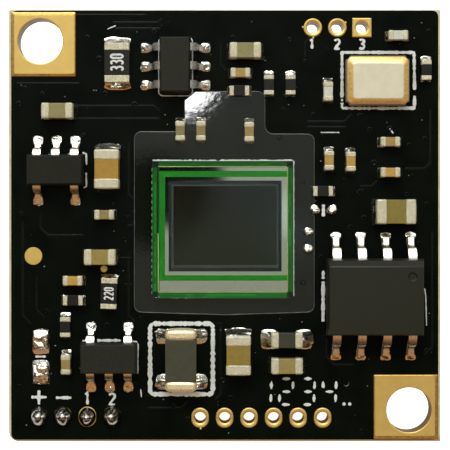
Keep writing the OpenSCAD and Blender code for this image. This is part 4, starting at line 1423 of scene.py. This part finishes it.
class CAMERABOARD_OT_crystal(bpy.types.Operator):
    """Crystal: ceramic tub, quartz blank, gold rim and lid"""
    bl_idname = "camera_board.crystal"
    bl_label = "Crystal"

    def execute(self, context):
        metal = looks("metal")
        ceramic = ceramic_finish("crystal_ceramic", (0.16, 0.13, 0.09))
        softened("crystal_base", "crystal_tub", 0.03, ceramic, "crystal_ceramic")
        cx, cy, half_x, half_y = middle_mm("crystal_seal_ring")
        foot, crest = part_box("crystal_seal_ring")[0].z / MM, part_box("crystal_lid")[1].z / MM

        def outline(inset):
            return round_box(cx - half_x + inset, cy - half_y + inset * 0.85, cx + half_x - inset * 0.85,
                             cy + half_y - inset * 1.1, 0.3 - inset * 0.5)

        bm = bmesh.new()
        skirted(bm, outline, [
            (0.0, foot), (0.0, foot + 0.03), (0.04, foot + 0.065), (0.22, crest - 0.045),
            (0.27, crest - 0.02), (0.31, crest - 0.014),
        ])
        rim = finish("crystal_rim", metal.rim, rough=0.34, metal=0.6, mottle=0.15, mottle_mm=0.15,
                     grain_mm=0.04, grain_um=1.2, swell_mm=0.3, swell_um=3)
        add_piece("crystal_gold_rim", bm, [rim], "gold_rim", ["crystal_seal_ring"])
        bm = bmesh.new()
        skirted(bm, outline, [
            (0.29, crest - 0.03), (0.29, crest - 0.014), (0.31, crest - 0.003), (0.34, crest),
        ])
        lid = finish("crystal_cover", metal.lid, rough=0.42, metal=0.5, mottle=0.05, mottle_mm=0.5,
                     grain_mm=0.04, grain_um=0.8)
        add_piece("crystal_cover_plate", bm, [lid], "crystal_cover", ["crystal_lid"])
        coat_node("crystal_blank", finish("quartz", (0.8, 0.84, 0.86), rough=0.1))
        return {"FINISHED"}


# ---------------------------------------------------------------- chip parts


# Length of the metal end in millimetres, by the length of the chip in metres
CAP_LENGTH = {0.001: 0.29, 0.0016: 0.42, 0.002: 0.54, 0.0032: 0.62}
WRAP = 0.02

# What of the core the two ends hide, in lengths of one end: on flat ends and on rounded ones
HIDDEN_FLAT, HIDDEN_ROUND = 0.8, 1.7


def end_length(length):
    nearest = min(CAP_LENGTH, key=lambda known: abs(known - length))
    return CAP_LENGTH[nearest] * MM


# Shade of single chips between their two ceramic tones, as (x, y, share of the second tone)
CHIP_TINTS = [
    (-6.1, 0.55, 0.22), (-2.25, 4.8, 0.05), (-1.2, 4.8, 0.12), (1.25, 4.75, 0.3), (0.8, 7.75, 0.62),
    (8.4, 4.25, 0.5), (8.4, 2.7, 0.95), (6.4, 3.25, 0.8), (5.3, 3.3, 0.72), (-7.7, -2.8, 1.0),
    (-8.05, -7.05, 0.35), (-8.45, 5.8, 0.15), (1.05, 8.85, 0.1), (-6.3, -1.6, 0.85), (3.15, -7.1, 0.6),
    (-5.95, 2.85, 1.0), (8.65, 0.7, 0.1), (0.7, -6.55, 0.3),
]

# A chip takes the shade of a place in this list up to this distance, in millimetres
SAME_CHIP = 0.3


def chip_tint(x, y):
    """Each chip's own shade between its two ceramic tones, from its place in metres."""
    def gap(place):
        return math.hypot(x / MM - place[0], y / MM - place[1])

    near = min(CHIP_TINTS, key=gap)
    return near[2] if gap(near) < SAME_CHIP else PLAIN_TINT


def chip_pieces(node, name, finishes, slots, bulge=0.09, curve=0.1):
    """Ceramic chips with wrapped metal ends. node and name each give the two nodes and the two pieces."""
    cores, ends = node
    core_mesh, end_mesh = bmesh.new(), bmesh.new()
    wrap = WRAP * MM
    for core in placed(cores):
        reach = end_length(core.length)
        inside = core.length - (HIDDEN_ROUND if curve > 0.2 else HIDDEN_FLAT) * reach
        tint = chip_tint(core.centre.x, core.centre.y)
        block(core_mesh, core.matrix(), (inside, core.width, core.height), 0.035, 2, tint)
        for side in (-1, 1):
            at = core.matrix(side * (core.length / 2 + wrap - reach / 2), -wrap)
            size = (reach, core.width + 2 * wrap, core.height + 2 * wrap)
            block(end_mesh, at, size, bulge, 3, curve=curve)
    add_piece(name[0], core_mesh, [finishes[0]], slots[0], [cores])
    add_piece(name[1], end_mesh, [finishes[1]], slots[1], [ends])


# Two tones of each warm ceramic: a chip's tint lies between them
TAN = (0.155, 0.135, 0.062), (0.36, 0.225, 0.040)
OLIVE = (0.185, 0.180, 0.080), (0.215, 0.160, 0.034)
AMBER_CERAMIC = (0.145, 0.125, 0.025), (0.27, 0.165, 0.025)


class CAMERABOARD_OT_capacitors(bpy.types.Operator):
    """Ceramic capacitors in four kinds on the front and one on the back"""
    bl_idname = "camera_board.capacitors"
    bl_label = "Capacitors"

    def execute(self, context):
        tin, tan = tin_finish(), ceramic_finish("tan_ceramic", *TAN)
        olive = ceramic_finish("olive_ceramic", *OLIVE)
        amber = ceramic_finish("amber_ceramic", *AMBER_CERAMIC)
        grey = ceramic_finish("grey_ceramic", looks("parts").grey)
        for kind, ceramic, slot, bulge in (
            ("tan", tan, "tan_ceramic", 0.07), ("grey", grey, "grey_ceramic", 0.07),
            ("medium", olive, "olive_ceramic", 0.08), ("large", amber, "large_ceramic", 0.08),
            ("back", tan, "tan_ceramic", 0.07),
        ):
            base = kind + "_capacitor_"
            chip_pieces((base + "cores", base + "ends"), (base + "bricks", base + "caps"), (ceramic, tin),
                        (slot, "tinned_ends"), bulge)
        return {"FINISHED"}


class CAMERABOARD_OT_inductors(bpy.types.Operator):
    """Filter inductor and ferrite bead"""
    bl_idname = "camera_board.inductors"
    bl_label = "Inductors"

    def execute(self, context):
        dark = ceramic_finish("bead_ceramic", (0.030, 0.031, 0.020))
        chip_pieces(("ferrite_core", "ferrite_ends"), ("bead_brick", "bead_caps"), (dark, tin_finish()),
                    ("ferrite", "tinned_ends"))
        core = ceramic_finish("inductor_ceramic", looks("parts").ferrite)
        plating = finish("inductor_plating", (0.70, 0.60, 0.36), rough=0.42, metal=0.6, mottle=0.3,
                         mottle_mm=0.06, grain_mm=0.04, grain_um=6, swell_mm=0.3, swell_um=5)
        chip_pieces(("inductor_core", "inductor_ends"), ("inductor_brick", "inductor_caps"),
                    (core, plating), ("inductor_ferrite", "inductor_plating"), 0.2, 0.36)
        return {"FINISHED"}


class CAMERABOARD_OT_resistors(bpy.types.Operator):
    """Resistors in three sizes, with plain figures on the two larger ones"""
    bl_idname = "camera_board.resistors"
    bl_label = "Resistors"

    def execute(self, context):
        coat = finish("resistor_coat", looks("parts").coat, rough=0.4, specular=0.2, mottle=0.2,
                      mottle_mm=0.1, grain_um=0.8)
        finishes = ceramic_finish("alumina", (0.62, 0.61, 0.56)), coat, tin_finish()
        for size, many in (("small", "s"), ("medium", ""), ("large", "")):
            self.build(size, size + "_resistor_base" + many, size + "_resistor_coat" + many, finishes)
        meshes = [
            self.value("medium_resistor_coat", "220", 0.44), self.value("large_resistor_coat", "330", 0.6),
        ]
        dress("resistor_figures", merged("resistor_figures", meshes), [ink_finish()], "resistor_coat")
        return {"FINISHED"}

    def build(self, size, base, over, finishes):
        alumina, coat, tin = finishes
        ends = size + "_resistor_ends"
        slabs, coats, caps = bmesh.new(), bmesh.new(), bmesh.new()
        for slab in placed(base):
            block(slabs, slab.matrix(), (slab.length, slab.width, slab.height), 0.012, 1)
            strip = min(placed(over), key=lambda s: (s.centre - slab.centre).length)
            reach = strip.length if abs(strip.along.dot(slab.along)) > 0.7 else strip.width
            skin = (reach, slab.width + 0.012 * MM, slab.height)
            block(coats, slab.matrix(z=strip.high - slab.low - slab.height), skin, 0.02, 2)
        for end in placed(ends):
            block(caps, end.matrix(), (end.length, end.width, end.height), 0.03, 2)
        add_piece(size + "_resistor_slabs", slabs, [alumina], "alumina", [base])
        add_piece(size + "_resistor_overcoats", coats, [coat], "resistor_coat", [over])
        add_piece(size + "_resistor_terminals", caps, [tin], "tinned_ends", [ends])

    def value(self, node, text, height):
        """Plain figures in the middle of a coat, along it."""
        narrow, pitch = 0.62, 1.25
        strip = placed(node)[0]
        turn = math.degrees(math.atan2(strip.along.y, strip.along.x)) % 180
        width = ((len(text) - 1) * pitch + 1) * height / 1.5 * narrow
        c, s = math.cos(math.radians(turn)), math.sin(math.radians(turn))
        left, base = -width / 2, -height / 2
        x = strip.centre.x / MM + c * left - s * base
        y = strip.centre.y / MM + s * left + c * base
        strokes = figures(text, x, y, height, turn, pitch, narrow)
        top = strip.high / MM
        return stroke_mesh("resistor_ink", strokes, height * 0.17, top - 0.006, top + 0.006, 0.1)


# ---------------------------------------------------------------- solder


# Share of its run that a fillet reaches under the part, and the distance up to which a land lies beside its
# part, in millimetres
FILLET_BACK = 0.15
BESIDE = 0.4


def wedge_frame(points, down):
    """Frame of a CAD fillet: the foot of the face it climbs, the way to its toe, and its size. On the
    back, where it hangs down, its crest is its lowest part."""
    low, high = min(p.z for p in points), max(p.z for p in points)
    crest_z, foot_z = (low, high) if down else (high, low)
    crest = [p for p in points if abs(p.z - crest_z) < SAME]
    foot = [p for p in points if abs(p.z - foot_z) < SAME]
    top = sum(crest, Vector()) / len(crest)
    far = max(foot, key=lambda p: (p.xy - top.xy).length)
    width = max((a.xy - b.xy).length for a in crest for b in crest)
    side = (crest[0].xy - crest[-1].xy).normalized()
    out = Vector((side.y, -side.x))
    if out.dot(far.xy - top.xy) < 0:
        out = -out
    run = max((p.xy - top.xy).dot(out) for p in points)
    return Vector((top.x, top.y, foot_z)), out, run, high - low, width


def fillet(bm, points, spread, seed, down=False):
    """A solder fillet in place of a CAD wedge, a little wider and uneven."""
    at, out, run, rise, width = wedge_frame(points, down)
    up = -1 if down else 1
    matrix = basis(out, Vector((-out.y, out.x)) * up, at, up)
    half = width / 2 * spread
    back = run * FILLET_BACK

    def height(u, v):
        lump = noise.noise(Vector((u * 2.1 + seed, v * 1.6, seed * 0.37)))
        fine = noise.noise(Vector((u * 5 + seed, v * 4.5, seed)))
        body = (1 - u) ** 1.25 * (1 - 0.5 * abs(v) ** 2.5)
        return rise * (body * (1.0 + 0.5 * lump + 0.16 * fine) + 0.03 * (1 - u ** 6))

    def plan(u, v):
        wobble = 1 + 0.22 * noise.noise(Vector((v * 1.6, seed, 4)))
        reach = (run + back) * (1 - 0.25 * abs(v) ** 3) * wobble
        return u * reach - back, v * half * (1 - 0.12 * (1 - u) ** 2)

    mound(bm, matrix, height, plan, 10)


def land_lump(bm, land, lift, seed, rough, power, cells, away=None):
    """Solder spread over a whole land, lift millimetres high. It narrows towards the part when away, a
    point inside that part, is given."""
    outward = 0
    if away is not None:
        gap = (land.centre - away).dot(land.along)
        outward = 0 if abs(gap) < BESIDE * MM else math.copysign(1, gap)
    half_l, half_w = land.length / 2, land.width / 2

    def height(u, v):
        w = 2 * u - 1
        edge = max(0, 1 - abs(w) ** power) ** 0.6 * max(0, 1 - abs(v) ** power) ** 0.6
        lump = noise.noise(Vector((w * 1.9 + seed, v * 1.5, seed)))
        fine = noise.noise(Vector((w * 4.3, v * 4.1 + seed, seed)))
        return lift * MM * edge * (1 + rough * lump + 0.4 * rough * fine)

    def plan(u, v):
        w = 2 * u - 1
        pull = 1 - 0.09 * (w * v) ** 2 + 0.03 * noise.noise(Vector((w * 2, v * 2, seed)))
        taper = 1.0
        if outward:
            taper = 0.8 + 0.2 * outward * w + 0.06 * noise.noise(Vector((w * 3, seed, 2)))
        return w * half_l * pull, v * half_w * pull * taper

    mound(bm, land.matrix(), height, plan, cells)


# Share of its run that solder keeps beyond a chip's end, by the way it faces
SOLDER_RUN = {"below": 0.45, "beside": 0.6}


def small_chips():
    """The chips whose solder is drawn in."""
    names = [kind + "_capacitor_cores" for kind in ("tan", "grey", "medium", "large")]
    names += ["small_resistor_bases", "medium_resistor_base"]
    return [chip for name in names for chip in placed(name)]


def draw_in(bm, start, chips):
    """Pull the newest lump of solder in towards the end of its chip, unless it lies on the upper side."""
    verts = list(bm.verts)[start:]
    middle = (sum((vert.co for vert in verts), Vector()) / len(verts)).xy
    chip = min(chips, key=lambda other: (other.centre.xy - middle).length)
    upright = abs(chip.along.y) > 0.7
    axis = 1 if upright else 0
    side = math.copysign(1, middle[axis] - chip.centre[axis])
    if (chip.centre.xy - middle).length > chip.length or (upright and side > 0):
        return
    keep = SOLDER_RUN["below" if upright else "beside"]
    edge = chip.centre[axis] + side * chip.length / 2
    for vert in verts:
        beyond = vert.co[axis] - edge
        if beyond * side > 0:
            vert.co[axis] = edge + beyond * keep


def unevenness(share, a, size, seed):
    """Noise at a share of a round lump's radius and an angle."""
    return noise.noise(Vector((math.cos(a) * share * size, math.sin(a) * share * size, seed)))


# Least length of a large bare land, lumps on the small ones, and cones round the four pins, in millimetres
LARGE_LAND = 0.6
LUMP_HALF_X, LUMP_HALF_Y, LUMP_H = 0.26, 0.24, 0.13
JOINT_HALF, JOINT_H = (0.47, 0.47, 0.43, 0.47), 0.55


class CAMERABOARD_OT_solder(bpy.types.Operator):
    """Solder: chip fillets, lead feet, bare lands and the header's joints"""
    bl_idname = "camera_board.solder"
    bl_label = "Solder"

    def execute(self, context):
        solder, chips = solder_finish(), small_chips()

        def add(name, bm, node, finish=solder):
            add_piece(name, bm, [finish], "solder", [node], 60)

        for node, name, spread, down in (
            ("chip_solder", "chip_fillets", 1.12, False), ("package_solder", "toe_fillets", 1.25, False),
            ("back_solder", "back_fillets", 1.05, True),
        ):
            add(name, self.fillets(node, spread, down, chips), node)
        add("chip_land_solder", self.chip_lands(chips), "chip_lands")
        add("lead_foot_solder", self.lead_feet(), "package_lands")
        add("bare_land_lumps", self.bare_lands(), "bare_land_solder")
        # The header's joints take a darker copy of the solder: painted shade
        joint_shade = finish("joint_solder", (0.40, 0.40, 0.37), rough=0.16, metal=1, mottle=0.2, mottle_mm=0.15,
                      grain_mm=0.05, grain_um=1.5, swell_mm=0.2, swell_um=6)
        add("pin_joints", self.joints(), "pin_solder", joint_shade)
        return {"FINISHED"}

    def fillets(self, node, spread, down, chips):
        bm = bmesh.new()
        for k, points in enumerate(solids_of(node)):
            start = len(bm.verts)
            fillet(bm, points, spread, k * 1.37, down)
            if node == "chip_solder":
                draw_in(bm, start, chips)
        return bm

    def chip_lands(self, chips):
        bm = bmesh.new()
        for k, land in enumerate(placed("chip_lands")):
            start = len(bm.verts)
            land_lump(bm, land, 0.07, k * 0.93, 0.5, 4, 8)
            draw_in(bm, start, chips)
        return bm

    def lead_feet(self):
        bm = bmesh.new()
        bodies = [placed(name + "_body")[0].centre for name in LEAD_THICK]
        for k, land in enumerate(placed("package_lands")):
            body = min(bodies, key=lambda centre: (centre - land.centre).length)
            land_lump(bm, land, 0.1, k * 0.77, 0.6, 4, 10, body)
        return bm

    def bare_lands(self):
        """Round lumps on the small bare lands and a rough coat on the large ones."""
        bm = bmesh.new()
        for k, lump in enumerate(placed("bare_land_solder")):
            if lump.length > LARGE_LAND * MM:
                land_lump(bm, lump, 0.16, k * 2.1, 1.0, 5, 14)
                continue

            def height(share, a, k=k):
                slope = 1 - 0.8 * share * math.sin(a)
                uneven = 1 + 0.3 * unevenness(share, a, 2, k * 2.7)
                return LUMP_H * MM * max(0, 1 - share ** 2) ** 0.8 * slope * uneven

            at = Matrix.Translation((lump.centre.x, lump.centre.y, lump.low))
            dome(bm, at, LUMP_HALF_X * MM, LUMP_HALF_Y * MM, height, 7, 20, 0.3, k * 1.9)
        return bm

    def joints(self):
        """Cones of solder round the header's pins."""
        bm = bmesh.new()
        land_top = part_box("cable_hole_lands")[1].z
        for k, pin in enumerate(sorted(placed("cable_pins"), key=lambda p: p.centre.x)):

            def height(share, a, k=k):
                uneven = 1 + 0.28 * unevenness(share, a, 1.5, k * 3.1) * share
                return JOINT_H * MM * max(0, 1 - share ** 1.7) ** 0.85 * uneven

            at = Matrix.Translation((pin.centre.x, pin.centre.y, land_top))
            half = JOINT_HALF[k]
            dome(bm, at, half * MM, half * 1.14 * MM, height, 10, 32, 0.06, k)
        return bm


# ---------------------------------------------------------------- the back


class CAMERABOARD_OT_back(bpy.types.Operator):
    """Cable header and image processor on the back"""
    bl_idname = "camera_board.back"
    bl_label = "Back parts"

    def execute(self, context):
        nylon = finish("nylon", looks("parts").nylon, rough=0.5, mottle=0.05, mottle_mm=0.6, grain_mm=0.04,
                       grain_um=1.2)
        softened("cable_housing", "header_shroud", 0.05, nylon, "housing_nylon")
        softened("cable_pins", "header_pins", 0.02, lead_finish(), "tinned_leads", 1)
        softened("processor_body", "processor_mould", 0.03, mould_finish(), "mould_compound", 1)
        coat_node("processor_contacts", tin_finish())
        return {"FINISHED"}


# ---------------------------------------------------------------- stage


FLOOR_GLOW = 0.85


def stage_floor(level):
    """A white floor, lit for itself where the camera or a ray through the glass sees it."""
    bm = bmesh.new()
    bmesh.ops.create_grid(bm, x_segments=2, y_segments=2, size=0.4, matrix=Matrix.Translation((0, 0, level)))
    floor = bpy.data.objects.new("floor", mesh_of("floor", bm))
    bpy.context.scene.collection.objects.link(floor)
    n = Nodes("white_floor")
    path = n.add("LightPath").outputs
    seen = n.add("Math", path["Is Camera Ray"], path["Is Transmission Ray"], operation="MAXIMUM")
    lit = n.add("Math", seen.outputs[0], FLOOR_GLOW, operation="MULTIPLY")
    glow = n.add("Emission", (1, 1, 1, 1), lit.outputs[0])
    both = n.add("AddShader", n.shader.outputs[0], glow.outputs[0])
    n.link(both.outputs[0], n.output.inputs["Surface"])
    floor.data.materials.append(n.set(Base_Color=(0.9, 0.9, 0.9, 1), Roughness=0.8))
    floor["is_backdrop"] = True


# Tones of the light tent
WALL_DARK, WALL_BRIGHT = (0.05, 0.05, 0.047), (1.5, 1.52, 1.5)
WALL_WARM, WALL_LOW, WALL_FOOT = (0.50, 0.235, 0.085), (0.04, 0.02, 0.01), (0.02, 0.018, 0.014)
ROOF_NEAR, ROOF_FAR = (0.25, 0.235, 0.18), (0.36, 0.37, 0.36)

# Round patches of the roof, by what the board mirrors: x, y, radius and blur in millimetres, and the tone
PATCHES = [
    (2.9, -0.5, 0.9, 0.9, (0.47, 0.51, 0.50)),
    (-3.5, 1.2, 2.4, 0.45, (0.004, 0.004, 0.004)),
    (-2.75, 7.95, 2.3, 0.05, (30, 30, 30)),
]


def studio_world():
    """A light tent: bright beyond the far side, warm at the near side, with patches in its roof."""
    world = bpy.data.worlds.new("studio")
    bpy.context.scene.world = world
    world.use_nodes = True
    sky = Tree(world.node_tree)
    place = sky.add("TexCoord").outputs["Generated"]
    split = sky.add("SeparateXYZ", place)
    height = looks("stage").camera_height

    def ramp(axis, start, end):
        return sky.spread(split.outputs[axis], 0, 1, start, end, "SMOOTHSTEP")

    def patch(x, y, r, soft):
        dot = sky.add("VectorMath", place, Vector((x, y, height)).normalized(), operation="DOT_PRODUCT")
        outer, inner = math.cos((r + soft) / height), math.cos((r - soft) / height)
        return sky.spread(dot.outputs["Value"], 0, 1, outer, inner, "SMOOTHSTEP")

    roof = sky.mix(ramp("Y", -0.22, 0.22), ROOF_NEAR, ROOF_FAR)
    tent = WALL_DARK
    for share, tone in (
        (ramp("Y", 0.15, 0.42), WALL_BRIGHT), (ramp("Y", -0.12, -0.4), WALL_WARM),
        (ramp("Y", -0.7, -0.88), WALL_LOW), (ramp("Z", 0.38, 0.16), WALL_FOOT),
        (ramp("Z", 0.88, 0.955), roof), *((patch(*spot), tone) for *spot, tone in PATCHES),
    ):
        tent = sky.mix(share, tent, tone)
    seen = sky.mix(sky.add("LightPath").outputs["Is Camera Ray"], tent, (1, 1, 1))
    sky.link(seen, sky.tree.nodes["Background"].inputs["Color"])


def lamp(name, at, size, power, tone=(1, 1, 1), mirrored=True):
    light = bpy.data.lights.new(name, "AREA")
    light.shape = "DISK"
    light.size = size
    light.energy = power
    light.color = tone
    holder = bpy.data.objects.new(name, light)
    bpy.context.scene.collection.objects.link(holder)
    holder.location = at
    holder.rotation_euler = (-Vector(at)).to_track_quat("-Z", "Y").to_euler()
    holder.visible_camera = False
    holder.visible_glossy = mirrored


# Lamps in metres: name, place, size, share of the key lamp's power, tone, and whether surfaces mirror them
LAMPS = [
    ("key_lamp", (-0.03, 0.24, 0.22), 0.16, 1.0, (1, 1, 1), True),
    ("left_lamp", (-0.26, 0.04, 0.20), 0.06, 0.24, (1, 1, 1), False),
    ("right_lamp", (0.26, 0.04, 0.20), 0.06, 0.24, (1, 1, 1), False),
    ("warm_lamp", (0.02, -0.22, 0.13), 0.14, 0.2, (1.0, 0.80, 0.55), False),
]
# Small lamps for glints on the solder: their directions in degrees, and their distances
GLINTS = [(35, 0.16), (75, 0.18), (140, 0.20)]
GLINT_HEIGHT, GLINT_SIZE, GLINT_SHARE = 0.2, 0.008, 0.018

# The camera's place over the board, in millimetres, and how far the floor lies below the object, in metres
CAMERA_X, CAMERA_Y = 0.02, 0.03
FLOOR_DROP = 0.0005


class CAMERABOARD_OT_stage(bpy.types.Operator):
    """Floor, light tent, lamps and camera"""
    bl_idname = "camera_board.stage"
    bl_label = "Stage"

    def execute(self, context):
        values = looks("stage")
        context.scene.view_settings.view_transform = "Standard"
        stage_floor(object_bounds()[0][2] - FLOOR_DROP)
        studio_world()
        for name, at, size, share, tone, mirrored in LAMPS:
            lamp(name, at, size, values.key * share, tone, mirrored)
        for k, (turn, away) in enumerate(GLINTS):
            at = (away * math.cos(math.radians(turn)), away * math.sin(math.radians(turn)), GLINT_HEIGHT)
            lamp(f"glint_lamp_{k}", at, GLINT_SIZE, values.key * GLINT_SHARE)
        self.camera(context.scene, values)
        return {"FINISHED"}

    def camera(self, scene, values):
        camera = bpy.data.cameras.new("camera")
        camera.lens = values.lens
        camera.sensor_width = 36
        camera.clip_start = 0.001
        camera.clip_end = 5
        holder = bpy.data.objects.new("camera", camera)
        scene.collection.objects.link(holder)
        holder.location = (CAMERA_X * MM, CAMERA_Y * MM, values.camera_height * MM)
        scene.camera = holder


# ---------------------------------------------------------------- add-on


OPERATORS = [
    CAMERABOARD_OT_stage, CAMERABOARD_OT_board, CAMERABOARD_OT_copper, CAMERABOARD_OT_printing,
    CAMERABOARD_OT_lands, CAMERABOARD_OT_sensor, CAMERABOARD_OT_packages, CAMERABOARD_OT_crystal,
    CAMERABOARD_OT_capacitors, CAMERABOARD_OT_inductors, CAMERABOARD_OT_resistors, CAMERABOARD_OT_solder,
    CAMERABOARD_OT_back,
]


class CAMERABOARD_PT_pieces(bpy.types.Panel):
    """Builds the board's pieces one group at a time"""
    bl_idname = "CAMERABOARD_PT_pieces"
    bl_label = "Camera Board"
    bl_space_type = "VIEW_3D"
    bl_region_type = "UI"
    bl_category = "Camera Board"

    def draw(self, context):
        for name, group in LOOKS.items():
            box = self.layout.box()
            for key in group.__annotations__:
                box.prop(getattr(context.scene, name), key)
        for operator in OPERATORS:
            self.layout.operator(operator.bl_idname)


def register():
    for cls in (*LOOKS.values(), *OPERATORS, CAMERABOARD_PT_pieces):
        bpy.utils.register_class(cls)
    for name, group in LOOKS.items():
        setattr(bpy.types.Scene, name, bpy.props.PointerProperty(type=group))


def unregister():
    for name in LOOKS:
        delattr(bpy.types.Scene, name)
    for cls in reversed((*LOOKS.values(), *OPERATORS, CAMERABOARD_PT_pieces)):
        bpy.utils.unregister_class(cls)


def main():
    register()
    for operator in OPERATORS:
        group, name = operator.bl_idname.split(".")
        getattr(getattr(bpy.ops, group), name)()


if __name__ == "__main__":
    main()
